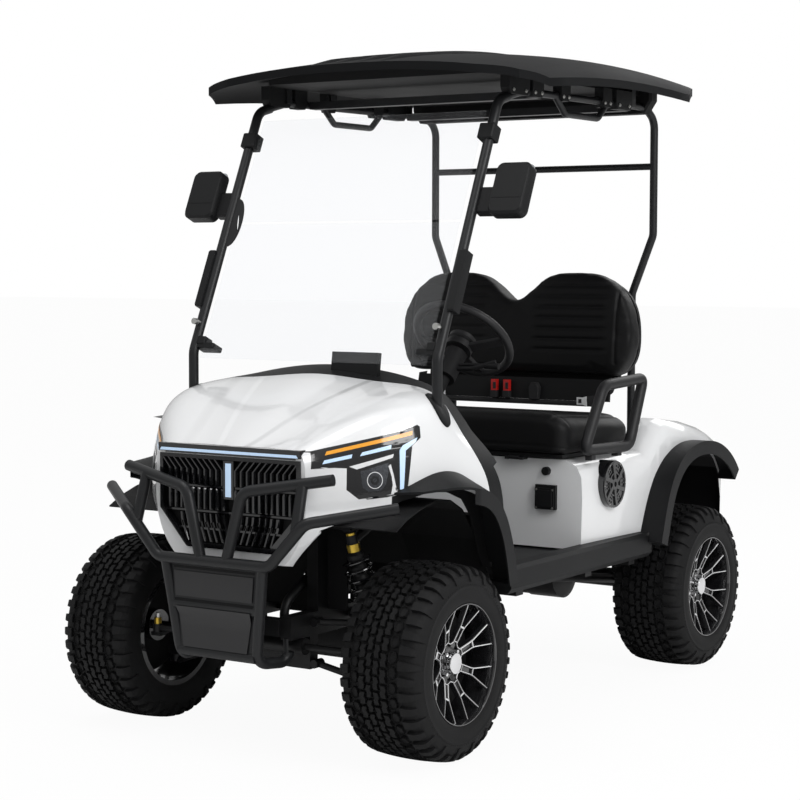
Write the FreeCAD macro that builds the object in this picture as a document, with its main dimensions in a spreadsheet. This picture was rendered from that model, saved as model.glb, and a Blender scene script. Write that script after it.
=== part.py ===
import FreeCAD, Part
import math
import os
import re
import Sketcher
from FreeCAD import Placement, Rotation, Vector

# Two-seat electric golf cart on lifted off-road tyres, in millimetres.
# +Z is up, the cart faces -Y and its driver sits on the +X side.
# The origin is on the ground, midway along and across the cart.

os.makedirs("parts", exist_ok=True)
doc = FreeCAD.newDocument("golf_cart")

# Driving sizes
SIZES = {
    # wheels and stance
    "wheelbase": 1700, "front_overhang": 362, "rear_overhang": 354,
    "track": 1052, "tyre_radius": 292, "tyre_width": 254, "tread_width": 226,
    "tyre_sides": 36, "tread_depth": 11, "shoulder_lug_width": 46,
    "rim_radius": 178, "rim_width": 224, "rim_wall": 9, "rim_lip": 12,
    "disc_inset": 4, "disc_thickness": 16, "hub_radius": 44, "spoke_count": 8,
    "spoke_width": 15, "spoke_spread": 34, "cap_radius": 26, "cap_length": 14,
    # steering and front suspension
    "kingpin_x": 420, "kingpin_radius": 9, "kingpin_half_height": 95,
    "pin_clearance": 0.3, "eye_radius": 22, "eye_thickness": 22,
    "arm_tube_radius": 13, "arm_foot_spread": 100, "arm_foot_z": 262,
    "steering_arm_length": 154, "steering_arm_x": 370,
    "rack_rod_radius": 10, "tie_end_radius": 15, "rack_housing_radius": 25,
    "rack_housing_half": 200, "spindle_radius": 15,
    "column_x": 230, "wheel_hub_y": -163, "wheel_hub_height": 1208,
    "column_tilt": 44.6, "shaft_radius": 9, "column_radius": 21,
    "column_start": 62, "column_end": 600, "shaft_end": 640, "hand_wheel_radius": 162,
    "hand_wheel_grip": 14, "hand_wheel_dish": 34,
    "shock_radius": 17, "spring_radius": 26, "spring_wire": 6, "spring_turns": 7,
    # frame and floor
    "rail_x": 170, "rail_width": 40, "rail_height": 70, "rail_bottom": 345,
    "floor_top": 505, "floor_thickness": 12, "floor_front_y": -440,
    "sill_outer_x": 612, "sill_width": 62, "sill_bottom": 445, "sill_top": 530,
    "sill_front_y": -500, "sill_back_y": 470,
    # front body
    "body_wall": 5, "body_gap": 1.5, "nose_half_width": 278, "nose_bottom": 575,
    "nose_top": 912, "cowl_half_width": 575, "cowl_bottom": 534,
    "cowl_top": 1132, "nose_length": 264, "cowl_rear_y": -560,
    "grille_top_half": 262, "grille_low_half": 160, "grille_top": 884,
    "grille_mid": 718, "grille_bottom": 606, "grille_depth": 34,
    "slat_pitch": 24, "slat_width": 9, "light_bar_half": 268,
    "light_bar_height": 24, "light_bar_z": 903,
    # brush guard
    "guard_tube": 17, "guard_y": -1190, "guard_bar_z": 581, "guard_bar_half": 205,
    "guard_bottom_z": 288, "guard_plate": 6,
    # fender flares and arches
    "flare_outer_x": 665, "flare_wall": 6, "flare_lip": 48, "flare_gap": 0.9,
    "tower_top": 702, "liner_inner_x": 268, "liner_wall": 4,
    # dash
    "dash_half_width": 520, "trim_width": 92, "trim_thickness": 20,
    # rear body and seat
    "seat_box_front": 50, "seat_box_half": 562,
    "seat_box_top": 808, "rear_deck": 790, "deck_recess": 2,
    "rear_body_bottom": 512, "rear_body_end": 1150,
    "cushion_front": -5, "cushion_depth": 505, "cushion_half": 530,
    "cushion_bottom": 826, "cushion_height": 142, "pan_thickness": 12,
    "hinge_y": 24, "hinge_radius": 7,
    "backrest_bottom": 1052, "backrest_hump": 1438, "backrest_valley": 1340,
    "backrest_half": 492, "backrest_thick": 96, "backrest_front": 532,
    "backrest_lean": 6, "backrest_shell": 16, "soft_gap": 0.3,
    "armrest_x": 566, "armrest_tube": 18,
    # canopy
    "strut_radius": 16, "strut_foot_x": 467, "strut_foot_y": -699,
    "strut_bend_z": 1170, "strut_top_y": -348, "strut_top_z": 1962,
    "rear_strut_y": 763, "rear_strut_x": 462, "rear_strut_low_x": 380,
    "rear_strut_waist": 1558, "crossbar_radius": 12, "crossbar_z": 1804,
    "roof_half_width": 650, "roof_front_y": -540, "roof_rear_y": 812,
    "roof_crown": 2172, "roof_edge": 2016, "roof_wall": 26, "roof_front_crown": 2082,
    "roof_front_edge": 1992,
    "handle_tube": 11, "pane_half": 432, "pane_wall": 5, "pane_gap": 8,
    "pane_bottom": 1150, "pane_seam": 1586, "pane_top": 1930,
    "mirror_x": 592, "mirror_y": -474, "mirror_z": 1687,
    "mirror_width": 130, "mirror_height": 160, "mirror_depth": 52,
    # rear axle and drive
    "axle_tube": 34, "drum_radius": 104, "drum_width": 38, "motor_radius": 84,
    "motor_length": 210, "case_radius": 96, "battery_length": 390,
    "battery_width": 560, "battery_height": 250,
    "bumper_z": 488, "bumper_half": 420,
}

# Places worked out from the driving sizes
PLACES = {
    "front_axle_y": "front_overhang - (wheelbase + front_overhang + rear_overhang) / 2",
    "rear_axle_y": "front_axle_y + wheelbase",
    "nose_y": "front_axle_y - nose_length",
    "rack_y": "front_axle_y - steering_arm_length",
    "rack_z": "rail_bottom - rack_housing_radius",
    "arm_foot_x": "rail_x + rail_width / 2 + arm_tube_radius",
    "wheel_inner_x": "track / 2 - tyre_width / 2",
    "bumper_y": "rear_axle_y + rear_overhang - guard_tube",
    "floor_bottom": "floor_top - floor_thickness",
    "rail_top": "rail_bottom + rail_height",
    "rail_outer": "rail_x + rail_width / 2",
    "rail_inner": "rail_x - rail_width / 2",
    "cushion_top": "cushion_bottom + cushion_height",
    "cushion_back": "cushion_front + cushion_depth",
    "lid_bottom": "cushion_bottom - pan_thickness",
    "sill_inner_x": "sill_outer_x - sill_width",
}

sheet = doc.addObject("Spreadsheet::Sheet", "sizes")
for row, (word, number) in enumerate(SIZES.items(), start=1):
    sheet.set(f"A{row}", word)
    sheet.set(f"B{row}", str(number))
    sheet.setAlias(f"B{row}", word)
doc.recompute()


def qualify(text):
    """Point each named value in an expression at the sheet or the places."""
    def owner(match):
        word = match.group(0)
        if word in SIZES:
            return "sizes." + word
        return "places." + word if word in PLACES else word
    return re.sub(r"[a-z_]+", owner, text)


places = doc.addObject("App::VarSet", "places")
for word in PLACES:
    places.addProperty("App::PropertyFloat", word)
for word, text in PLACES.items():
    places.setExpression(word, qualify(text))
probe = doc.addObject("App::VarSet", "probe")
probe.addProperty("App::PropertyFloat", "reading")
doc.recompute()


class Named:
    """Named sizes and places read as attributes."""

    def __getattr__(self, word):
        return float(sheet.get(word)) if word in SIZES else getattr(places, word)


d = Named()
nodes = []
UP = Vector(0, 0, 1)
ACROSS = Vector(1, 0, 0)
ALONG = Vector(0, 1, 0)
AXIS_TURN = {"x": Rotation(ALONG, 90), "y": Rotation(ACROSS, -90), "z": Rotation()}


def reading(text):
    """The present value of an expression."""
    probe.setExpression("reading", qualify(text))
    probe.recompute()
    return probe.reading


def bind(thing, **texts):
    """Bind properties to expressions; x, y and z stand for the position."""
    for prop, text in texts.items():
        path = "Placement.Base." + prop if prop in "xyz" else prop
        thing.setExpression(path, qualify(text))
    return thing


def box(label, x, y, z):
    """A block between two named planes along each axis."""
    thing = doc.addObject("Part::Box", label)
    return bind(thing, x=x[0], y=y[0], z=z[0], Length=f"({x[1]}) - ({x[0]})",
                Width=f"({y[1]}) - ({y[0]})", Height=f"({z[1]}) - ({z[0]})")


def cylinder(label, axis, radius, x, y, z, length):
    """A round bar that starts at x, y, z and runs along one axis."""
    thing = doc.addObject("Part::Cylinder", label)
    thing.Placement.Rotation = AXIS_TURN[axis]
    return bind(thing, x=x, y=y, z=z, Radius=radius, Height=length)


def group(kind, label, things):
    """Join objects by Part::MultiFuse, Part::Compound or Part::MultiCommon."""
    thing = doc.addObject("Part::" + kind, label)
    if kind == "Compound":
        thing.Links = things
    else:
        thing.Shapes = things
    return thing


def cut(label, base, tool):
    """Take one object out of another."""
    thing = doc.addObject("Part::Cut", label)
    thing.Base = base
    thing.Tool = tool
    return thing


def mirrored(label, source):
    """The same piece on the other side of the cart."""
    thing = doc.addObject("Part::Mirroring", label)
    thing.Source = source
    thing.Normal = ACROSS
    return thing


def both_sides(label, source):
    """A left and a right piece that share one node."""
    return group("Compound", label, [source, mirrored(label + "_right", source)])


def shaped(label, shape):
    """A piece whose form neither a body nor a primitive fits."""
    thing = doc.addObject("Part::Feature", label)
    thing.Shape = shape
    return thing


def node(thing):
    """Mark an object as a finished sub-part."""
    nodes.append(thing)
    return thing


def bent_path(points, bend):
    """Straight runs joined by tangent arcs."""
    corners = [Vector(*point) for point in points]
    edges = []
    start = corners[0]
    for before, corner, after in zip(corners, corners[1:], corners[2:]):
        into = (corner - before).normalize()
        out = (after - corner).normalize()
        half_turn = into.getAngle(out) / 2
        run = min((corner - before).Length, (after - corner).Length)
        radius = min(bend, 0.48 * run / math.tan(half_turn))
        reach = radius * math.tan(half_turn)
        first = corner - into * reach
        last = corner + out * reach
        middle = corner + (out - into).normalize() * (radius / math.cos(half_turn) - radius)
        edges.append(Part.LineSegment(start, first).toShape())
        edges.append(Part.Arc(first, middle, last).toShape())
        start = last
    edges.append(Part.LineSegment(start, corners[-1]).toShape())
    return Part.Wire(edges)


def tube(points, radius, bend=60):
    """A round bar bent along a route."""
    ring = Part.makeCircle(radius, Vector(*points[0]), Vector(*points[1]) - Vector(*points[0]))
    return bent_path(points, bend).makePipeShell([Part.Wire(ring)], True, False)


def strip(line, thickness, x_from, x_to, bend=40):
    """Sheet of one thickness, bent along a side-view line and lying on its left."""
    (y0, z0), (y1, z1) = line[0], line[1]
    run = math.hypot(y1 - y0, z1 - z0)
    dy, dz = -(z1 - z0) / run * thickness, (y1 - y0) / run * thickness
    rim = [Vector(x_from, y0, z0), Vector(x_to, y0, z0),
           Vector(x_to, y0 + dy, z0 + dz), Vector(x_from, y0 + dy, z0 + dz)]
    path = bent_path([(x_from, y, z) for y, z in line], bend)
    return path.makePipeShell([Part.makePolygon(rim + rim[:1])], True, False)


def side_prism(outline, x_from, x_to):
    """A side-view outline pushed across the cart."""
    corners = [Vector(x_from, y, z) for y, z in outline]
    face = Part.Face(Part.makePolygon(corners + corners[:1]))
    return face.extrude(Vector(x_to - x_from, 0, 0))


def front_prism(outline, y_from, y_to):
    """A front-view outline pushed along the cart."""
    corners = [Vector(x, y_from, z) for x, z in outline]
    face = Part.Face(Part.makePolygon(corners + corners[:1]))
    return face.extrude(Vector(0, y_to - y_from, 0))


def grown(outline, gap):
    """A front-view outline let out all round by a gap, or in by a negative one."""
    corners = [Vector(x, 0, z) for x, z in outline]
    face = Part.Face(Part.makePolygon(corners + corners[:1])).makeOffset2D(gap, 2)
    return [(v.Point.x, v.Point.z) for v in face.OuterWire.OrderedVertexes]


def other_side(shape):
    """A shape mirrored across the cart."""
    return shape.mirror(Vector(), ACROSS)


def fused(shapes):
    """One solid from shapes that meet."""
    return shapes[0].multiFuse(shapes[1:]).removeSplitter()


def body_sketch(body, plane, points):
    """A closed outline of straight lines, each corner bound to two named values."""
    flat = next(f for f in body.Origin.OriginFeatures if f.Role == plane)
    sketch = body.newObject("Sketcher::SketchObject", body.Name + "_outline")
    sketch.AttachmentSupport = [(flat, "")]
    sketch.MapMode = "FlatFace"
    corners = [Vector(reading(u), reading(v), 0) for u, v in points]
    for start, end in zip(corners, corners[1:] + corners[:1]):
        sketch.addGeometry(Part.LineSegment(start, end), False)
    for line in range(len(points)):
        sketch.addConstraint(
            Sketcher.Constraint("Coincident", line, 2, (line + 1) % len(points), 1))
    for line, (u, v) in enumerate(points):
        for kind, text in (("DistanceX", u), ("DistanceY", v)):
            here = corners[line].x if kind == "DistanceX" else corners[line].y
            held = sketch.addConstraint(Sketcher.Constraint(kind, -1, 1, line, 1, here))
            sketch.setExpression(f"Constraints[{held}]", qualify(text))
    return sketch


def pad_body(label, plane, points, length, x="0", y="0", z="0", midplane=True):
    """A body padded from a closed outline."""
    body = doc.addObject("PartDesign::Body", label)
    sketch = body_sketch(body, plane, points)
    pad = body.newObject("PartDesign::Pad", label + "_pad")
    pad.Profile = sketch
    pad.Midplane = midplane
    bind(pad, Length=length)
    body.Tip = pad
    return bind(body, x=x, y=y, z=z)


# Ladder frame: box rails, floor beams and the front tower that carries the
# shock absorbers
rail = box("rail", ("rail_inner", "rail_outer"), ("nose_y + 50", "bumper_y - 40"),
           ("rail_bottom", "rail_top"))
frame_pieces = [rail, mirrored("rail_right", rail)]
for number, place in enumerate(("nose_y + 60", "front_axle_y + 190", "rear_axle_y - 260",
                                "rear_axle_y + 170", "bumper_y - 60")):
    frame_pieces.append(box(f"crossmember_{number}", ("-rail_inner", "rail_inner"),
                            (f"{place} - 20", f"{place} + 20"),
                            ("rail_bottom + 10", "rail_top - 10")))
for number, place in enumerate(("floor_front_y + 100", "seat_box_front + 70",
                                "sill_back_y - 30")):
    frame_pieces.append(box(f"floor_beam_{number}", ("-sill_inner_x", "sill_inner_x"),
                            (f"{place} - 22", f"{place} + 22"),
                            ("rail_top", "floor_bottom")))
tower = box("tower", ("rail_inner", "rail_outer"), ("front_axle_y - 79", "front_axle_y - 29"),
            ("rail_top", "tower_top"))
frame_pieces += [tower, mirrored("tower_right", tower)]
frame_pieces.append(box("tower_tie", ("-rail_inner", "rail_inner"),
                        ("front_axle_y - 79", "front_axle_y - 29"),
                        ("tower_top - 40", "tower_top")))
shock_pin = cylinder("shock_pin", "x", "8", "rail_outer", "front_axle_y - 54",
                     "tower_top - 32", "125")
frame_pieces += [shock_pin, mirrored("shock_pin_right", shock_pin)]
rear_post = box("rear_post", ("rail_inner", "rail_outer"), ("rear_axle_y - 120", "rear_axle_y - 80"),
                ("rail_top", "650"))
rear_pin = cylinder("rear_pin", "x", "8", "rail_outer", "rear_axle_y - 100", "630", "115")
hanger = box("hanger", ("282", "318"), ("seat_box_front + 52", "seat_box_front + 88"),
             ("rail_top - 50", "rail_top"))
for piece in (rear_post, rear_pin, hanger):
    frame_pieces += [piece, mirrored(piece.Label + "_right", piece)]
node(group("MultiFuse", "ladder_frame", frame_pieces))

# Drop frame: two welded hoops under the rails that carry the lower arms
drop_pieces = []
for number, side in enumerate(("-", "+")):
    place = f"front_axle_y {side} arm_foot_spread"
    post = box(f"drop_post_{number}", ("rail_inner", "rail_outer"),
               (f"{place} - 20", f"{place} + 20"),
               ("arm_foot_z - 17", "rail_bottom"))
    drop_pieces += [post, mirrored(f"drop_post_{number}_right", post)]
    drop_pieces.append(box(f"drop_tie_{number}", ("-rail_inner", "rail_inner"),
                           (f"{place} - 20", f"{place} + 20"),
                           ("arm_foot_z - 17", "rail_bottom - 15")))
node(group("MultiFuse", "drop_frame", drop_pieces))

# Floor mat and toe board in one pressing, between the sills
node(pad_body("floor_pan", "YZ_Plane",
              [("sill_back_y - 8", "floor_bottom"), ("sill_back_y - 8", "floor_top"),
               ("floor_front_y", "floor_top"), ("floor_front_y - 110", "floor_top + 190"),
               ("floor_front_y - 110 - floor_thickness", "floor_top + 184"),
               ("floor_front_y - floor_thickness / 2", "floor_bottom")],
              "2 * (sill_inner_x - 8)"))

# Rocker sills: box mouldings that close the floor's edges
sill = pad_body("sill_left", "XZ_Plane",
                [("-sill_width / 2", "sill_bottom + 6"), ("-sill_width / 2 + 6", "sill_bottom"),
                 ("sill_width / 2 - 14", "sill_bottom"), ("sill_width / 2", "sill_bottom + 16"),
                 ("sill_width / 2", "sill_top - 12"), ("sill_width / 2 - 10", "sill_top"),
                 ("-sill_width / 2", "sill_top")],
                "sill_back_y - sill_front_y", x="sill_outer_x - sill_width / 2",
                y="(sill_front_y + sill_back_y) / 2")
node(both_sides("sills", sill))

# Front body: one white moulding, hood and wings together, open below and
# behind. Stations run from the nose back: reach along the cowl, then shares
# of the way from the nose to the rear of the width and of the height, and
# how square the shoulder is.
COWL_STATIONS = ((0.00, 0.00, 0.00, 1.0), (0.09, 0.20, 0.13, 0.8), (0.28, 0.62, 0.46, 0.7),
                 (0.48, 0.86, 0.73, 0.6), (0.74, 0.97, 1.00, 0.0), (1.00, 1.00, 0.95, 0.0))
COWL_LENGTH_SPARE = 150


def between(low, high, share):
    """A value part of the way from one to another."""
    return low + (high - low) * share


def arch_wire(y, half, bottom, top, square):
    """A section across the body: a flat bottom under one smooth arch."""
    tall = top - bottom
    foot = between(0.97, 0.72, square)
    half_outline = [(foot * half, bottom),
                    (between(0.99, 0.93, square) * half, bottom + 0.24 * tall),
                    (half, bottom + 0.46 * tall),
                    (between(0.87, 1.0, square) * half, bottom + between(0.70, 0.78, square) * tall),
                    (between(0.735, 0.96, square) * half, bottom + between(0.87, 0.955, square) * tall),
                    (0.47 * half, bottom + between(0.955, 0.99, square) * tall)]
    points = [Vector(x, y, z) for x, z in half_outline] + [Vector(0, y, top)]
    points += [Vector(-p.x, p.y, p.z) for p in reversed(points[:-1])]
    arch = Part.BSplineCurve()
    arch.interpolate(points)
    return Part.Wire([arch.toShape(), Part.LineSegment(points[-1], points[0]).toShape()])


def cowl_skin(inset):
    """The outer form of the front body, or the space inside its wall."""
    length = d.cowl_rear_y + COWL_LENGTH_SPARE - d.nose_y
    wires = []
    for reach, width, height, square in COWL_STATIONS:
        wires.append(arch_wire(
            d.nose_y + inset + reach * length,
            between(d.nose_half_width, d.cowl_half_width, width) - inset,
            between(d.nose_bottom, d.cowl_bottom, width) - inset,
            between(d.nose_top, d.cowl_top, height) - inset, square))
    return Part.makeLoft(wires, True, False)


# The rear edge of the cowl, seen from the side, from the hood's back down
rear_edge = [(d.cowl_rear_y - 108, d.cowl_top + 60), (d.cowl_rear_y - 108, 1100),
             (d.cowl_rear_y - 38, 893), (d.cowl_rear_y + 45, 560)]
far_back = d.cowl_rear_y + 2 * COWL_LENGTH_SPARE
behind = side_prism(rear_edge + [(far_back, 560), (far_back, d.cowl_top + 60)], -800, 800)
# Both wheel openings, just inside the line of the fender flares
arch_line = [(-1176, 470), (-1176, 600), (-1090, 672), (-1000, 722), (-900, 762), (-820, 784),
             (-755, 780), (-692, 754), (-645, 700), (-606, 622), (-566, 500), (-530, 470)]
opening = side_prism(arch_line, 300, 800)
outer = cowl_skin(0)
inner = cowl_skin(d.body_wall)
grille_outline = [(-d.grille_top_half, d.grille_top), (d.grille_top_half, d.grille_top),
                  (d.grille_top_half, d.grille_mid), (d.grille_low_half, d.grille_bottom),
                  (-d.grille_low_half, d.grille_bottom), (-d.grille_top_half, d.grille_mid)]


# Lamp clusters: lens blocks let into the front corners of the body, in a
# plane that turns back from the nose
LAMP_TURN = 41.5
lamp_inner = Vector(268, d.nose_y + 36, 0)
lamp_outline = [(0, 912), (288, 968), (296, 905), (262, 890), (250, 786), (140, 772),
                (104, 800), (106, 862), (2, 868)]


def lamp_block(gap, front, back):
    """One lamp cluster, let out all round by a gap."""
    block = front_prism(grown(lamp_outline, gap) if gap else lamp_outline, -front, back)
    block.rotate(Vector(), UP, LAMP_TURN)
    block.translate(lamp_inner)
    return block


bar_front = d.nose_y - 8
bar_low = d.light_bar_z - d.light_bar_height / 2
bar_high = d.light_bar_z + d.light_bar_height / 2


def light_bar(gap):
    """The strip lamp that joins the two clusters over the grille."""
    half = d.light_bar_half - 4 + gap
    return front_prism([(-half, bar_low - gap), (half, bar_low - gap), (half, bar_high + gap),
                        (-half, bar_high + gap)], bar_front - gap, d.nose_y + 24 + gap)


strut_route = [(d.strut_foot_x - 3, d.strut_top_y + 60, d.strut_top_z + 16),
               (d.strut_foot_x - 1, d.strut_top_y, d.strut_top_z),
               (d.strut_foot_x, d.strut_foot_y, d.strut_bend_z),
               (d.strut_foot_x, d.strut_foot_y, 850), (d.rail_x, d.strut_foot_y, 790),
               (d.rail_x, d.strut_foot_y, d.rail_top)]
strut_hole = Part.makeCylinder(d.strut_radius + d.body_gap, 400,
                               Vector(d.strut_foot_x, d.strut_foot_y, 860))
lamp_hole = lamp_block(d.soft_gap, 90, 80)
cowl = outer.cut(inner)
# The nose's lower corners slope in to the middle, over the front rails
chin = front_prism([(200, 500), (216, 572), (308, 684), (420, 730), (420, 500)], -1200, -900)
for tool in (behind, opening, other_side(opening), chin, other_side(chin), strut_hole,
             other_side(strut_hole), lamp_hole, other_side(lamp_hole), light_bar(d.soft_gap),
             front_prism(grown(grille_outline, d.soft_gap), d.nose_y - 40, d.nose_y + 60)):
    cowl = cowl.cut(tool)
cowl = max(cowl.Solids, key=lambda piece: piece.Volume)
front_cowl = node(shaped("front_cowl", cowl))

# Lamps: the clusters and the strip between them, trimmed to the body's skin
lamp = lamp_block(0, 90, 60).common(outer)
lamp = max(lamp.Solids, key=lambda piece: piece.Volume)
node(shaped("front_lamps", Part.makeCompound([lamp, other_side(lamp), light_bar(0)])))

# Grille: a surround, a backing plate and upright slats, in one moulding
grille_y = d.nose_y - 6
backing = front_prism(grille_outline, grille_y + d.grille_depth - 8, grille_y + d.grille_depth)
surround = front_prism(grille_outline, grille_y, grille_y + d.grille_depth)
window = front_prism(grown(grille_outline, -14), grille_y - 1, grille_y + d.grille_depth + 1)
slats = []
slat_count = int(2 * d.grille_top_half / d.slat_pitch)
for number in range(slat_count):
    x = (number - (slat_count - 1) / 2) * d.slat_pitch
    slats.append(Part.makeBox(d.slat_width, d.grille_depth - 12, d.grille_top - d.grille_bottom,
                              Vector(x - d.slat_width / 2, grille_y + 8, d.grille_bottom)))
rib = front_prism([(-d.grille_top_half, d.grille_mid - 8), (d.grille_top_half, d.grille_mid - 8),
                   (d.grille_top_half, d.grille_mid + 8), (-d.grille_top_half, d.grille_mid + 8)],
                  grille_y + 14, grille_y + d.grille_depth - 4)
slats = [slat.common(surround) for slat in slats + [rib]]
node(shaped("grille", fused([surround.cut(window), backing] + slats)))


# Cowl trim and dash: a black band carries the body's line on behind the
# hood and down to the sills, and the dash spans it
band_back = [(y + d.trim_width, z) for y, z in rear_edge[:3]] + [(-495, 848), (-523, 838), (-453, 560)]
band_line = rear_edge + band_back[::-1]
band_line = [(y + d.body_gap, max(z, d.sill_top + d.body_gap)) for y, z in band_line]
trim = outer.cut(cowl_skin(d.trim_thickness)).common(side_prism(band_line, -800, 800))
dash_line = [(-661, 1060), (-661, 1180), (-560, 1180), (-505, 1050), (-494, 950),
             (-524, 880), (-610, 868)]
dash = side_prism(dash_line, -d.dash_half_width, d.dash_half_width)
dash = dash.common(cowl_skin(d.trim_thickness / 2))
tilt = math.radians(d.column_tilt)
column_axis = Vector(0, math.sin(tilt), math.cos(tilt))
wheel_hub = Vector(d.column_x, d.wheel_hub_y, d.wheel_hub_height)


def on_column(start, end, radius):
    """A round bar on the steering axis, measured down from the hand wheel."""
    return Part.makeCylinder(radius, end - start, wheel_hub - column_axis * end, column_axis)


screen = Part.makeBox(176, 16, 90, Vector(30, -636, 1090))
screen.rotate(Vector(30, -636, 1090), ACROSS, -8)
dash = dash.cut(on_column(d.column_start, d.column_end + 60, d.column_radius + d.soft_gap))
node(shaped("dashboard", fused([trim, dash, screen])))

# Brush guard: bent tube bars over the grille, with two recessed plates
# between the lower legs and two loops back to the frame
guard = []
for route in (
        [(-539, -1017, 756), (-331, -1186, 716), (-d.guard_bar_half, d.guard_y, d.guard_bar_z),
         (d.guard_bar_half, d.guard_y, d.guard_bar_z), (331, -1186, 716), (539, -1017, 756)],
        [(382, -1118, 838), (103, -1181, 792), (47, d.guard_y + 4, d.guard_bar_z)],
        [(-382, -1118, 838), (-103, -1181, 792), (-47, d.guard_y + 4, d.guard_bar_z)],
        [(290, -1140, 823), (296, -1184, 676)], [(-290, -1140, 823), (-296, -1184, 676)],
        [(-180, d.guard_y + 4, d.guard_bar_z), (-160, -1174, 434), (-140, -1164, d.guard_bottom_z),
         (-d.rail_x, -1046, 280), (-d.rail_x, -1046, 350)],
        [(180, d.guard_y + 4, d.guard_bar_z), (160, -1174, 434), (140, -1164, d.guard_bottom_z),
         (d.rail_x, -1046, 280), (d.rail_x, -1046, 350)],
        [(-160, -1174, 446), (160, -1174, 446)], [(-143, -1166, 306), (143, -1166, 306)]):
    guard.append(tube(route, d.guard_tube, 45))
guard.append(front_prism([(-176, 572), (176, 572), (156, 440), (-156, 440)],
                         -1184, -1184 + d.guard_plate))
guard.append(front_prism([(-156, 446), (156, 446), (140, 302), (-140, 302)],
                         -1176, -1176 + d.guard_plate))
guard = fused(guard).cut(Part.makeBox(600, 300, 2 * d.rail_height,
                                      Vector(-300, d.nose_y + 50, d.rail_bottom - 35)))
node(shaped("brush_guard", max(guard.Solids, key=lambda piece: piece.Volume)))


def offset_line(line, gap):
    """A side-view line moved to its left by a gap."""
    moved = []
    for number, (y, z) in enumerate(line):
        (y0, z0), (y1, z1) = line[max(number - 1, 0)], line[min(number + 1, len(line) - 1)]
        run = math.hypot(y1 - y0, z1 - z0)
        moved.append((y - (z1 - z0) / run * gap, z + (y1 - y0) / run * gap))
    return moved


def band_wire(line, gap, x):
    """A closed side-view band between a smooth line and the same line moved by a gap."""
    curves = []
    for points in (line, offset_line(line, gap)):
        curve = Part.BSplineCurve()
        curve.interpolate([Vector(x, y, z) for y, z in points])
        curves.append(curve.toShape())
    ends = [Part.LineSegment(curves[1].Vertexes[k].Point, curves[0].Vertexes[k].Point).toShape()
            for k in (0, 1)]
    return Part.Wire([curves[0], ends[1], curves[1], ends[0]])


def flare(inner_line, outer_line, x_inner, skin):
    """A fender flare: a top that slopes out to a deep lip, fitted round the body."""
    block = Part.makeLoft([band_wire(inner_line, -d.flare_lip, x_inner),
                           band_wire(outer_line, -d.flare_lip, d.flare_outer_x)], True, True)
    hollow = Part.makeLoft([band_wire(offset_line(inner_line, -d.flare_wall), -90, x_inner - 5),
                            band_wire(offset_line(outer_line, -d.flare_wall), -90,
                                      d.flare_outer_x - d.flare_wall)], True, True)
    piece = block.cut(hollow).cut(skin)
    return max(piece.Solids, key=lambda part: part.Volume)


# Fender flares: black mouldings round each wheel opening
front_flare = flare([(-960, 776), (-880, 814), (-820, 852), (-738, 888), (-646, 880),
                     (-576, 806), (-546, 700), (-530, 500)],
                    [(-960, 760), (-885, 788), (-820, 802), (-755, 796), (-678, 764),
                     (-629, 714), (-588, 635), (-552, 500)], 400, cowl_skin(-d.flare_gap))
nose_trim = Part.Face(Part.makePolygon([Vector(x, y, 400) for x, y in (
    (300, -1100), (800, -1100), (800, -780), (666, -780), (645, -820), (600, -864), (545, -896),
    (482, -914), (300, -960), (300, -1100))])).extrude(UP * 600)
low_trim = Part.makeBox(276, 700, 150, Vector(300, -1100, 400))
front_flare = front_flare.cut(nose_trim).cut(low_trim)
front_flare = max(front_flare.Solids, key=lambda piece: piece.Volume)
node(shaped("front_flares", Part.makeCompound([front_flare, other_side(front_flare)])))

# Rear body: the seat box and rear fenders in one white moulding, open below
REAR_STATIONS = ((50, 562, 808), (340, 574, 808), (508, 586, 808), (560, 592, 874), (635, 598, 911),
                 (815, 604, 889), (969, 602, 857), (1111, 582, 809), (1150, 566, 776))


def rear_skin(inset):
    """The outer form of the rear body, or the space inside its wall."""
    wires = []
    for y, half, top in REAR_STATIONS:
        half, top = half - inset, top - inset
        low = d.rear_body_bottom - max(inset, 0) * 4
        deck = min(top - 1, d.rear_deck - inset) if y > 400 else top - 1
        right = [(half - 4, low), (half, low + 170), (half - 4, top - 56), (half - 22, top - 20),
                 (half - 62, top), (half - 112 + 2 * inset, top), (half - 148 + 2 * inset, deck)]
        corners = [Vector(x, y, z) for x, z in right]
        corners += [Vector(-p.x, p.y, p.z) for p in reversed(corners)]
        wires.append(Part.makePolygon(corners + corners[:1]))
    shell = Part.makeLoft(wires, True, True)
    if inset > 0:
        front, back = REAR_STATIONS[0][0] + inset, REAR_STATIONS[-1][0] - inset
        shell = shell.common(Part.makeBox(2000, back - front, 2000, Vector(-1000, front, 0)))
    return shell


rear_flare_line = [(440, 499), (474, 600), (525, 702), (600, 775), (690, 814), (800, 825),
                   (930, 804), (1031, 752), (1088, 698)]
rear_arch = [(450, 470), (456, 508), (490, 604), (538, 690), (610, 760), (696, 797), (800, 808),
             (922, 788), (1016, 740), (1070, 690), (1160, 470)]
rear_opening = side_prism(rear_arch, 500, 800)
sill_notch = Part.makeBox(300, 900, 100, Vector(d.sill_inner_x - 2, 0, d.sill_top + 1 - 100))
bay = Part.makeBox(2 * d.seat_box_half - 180, 380, 200, Vector(90 - d.seat_box_half, 90, 700))
rear_outer = rear_skin(0)
rear_body = rear_outer.cut(rear_skin(d.body_wall))
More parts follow.
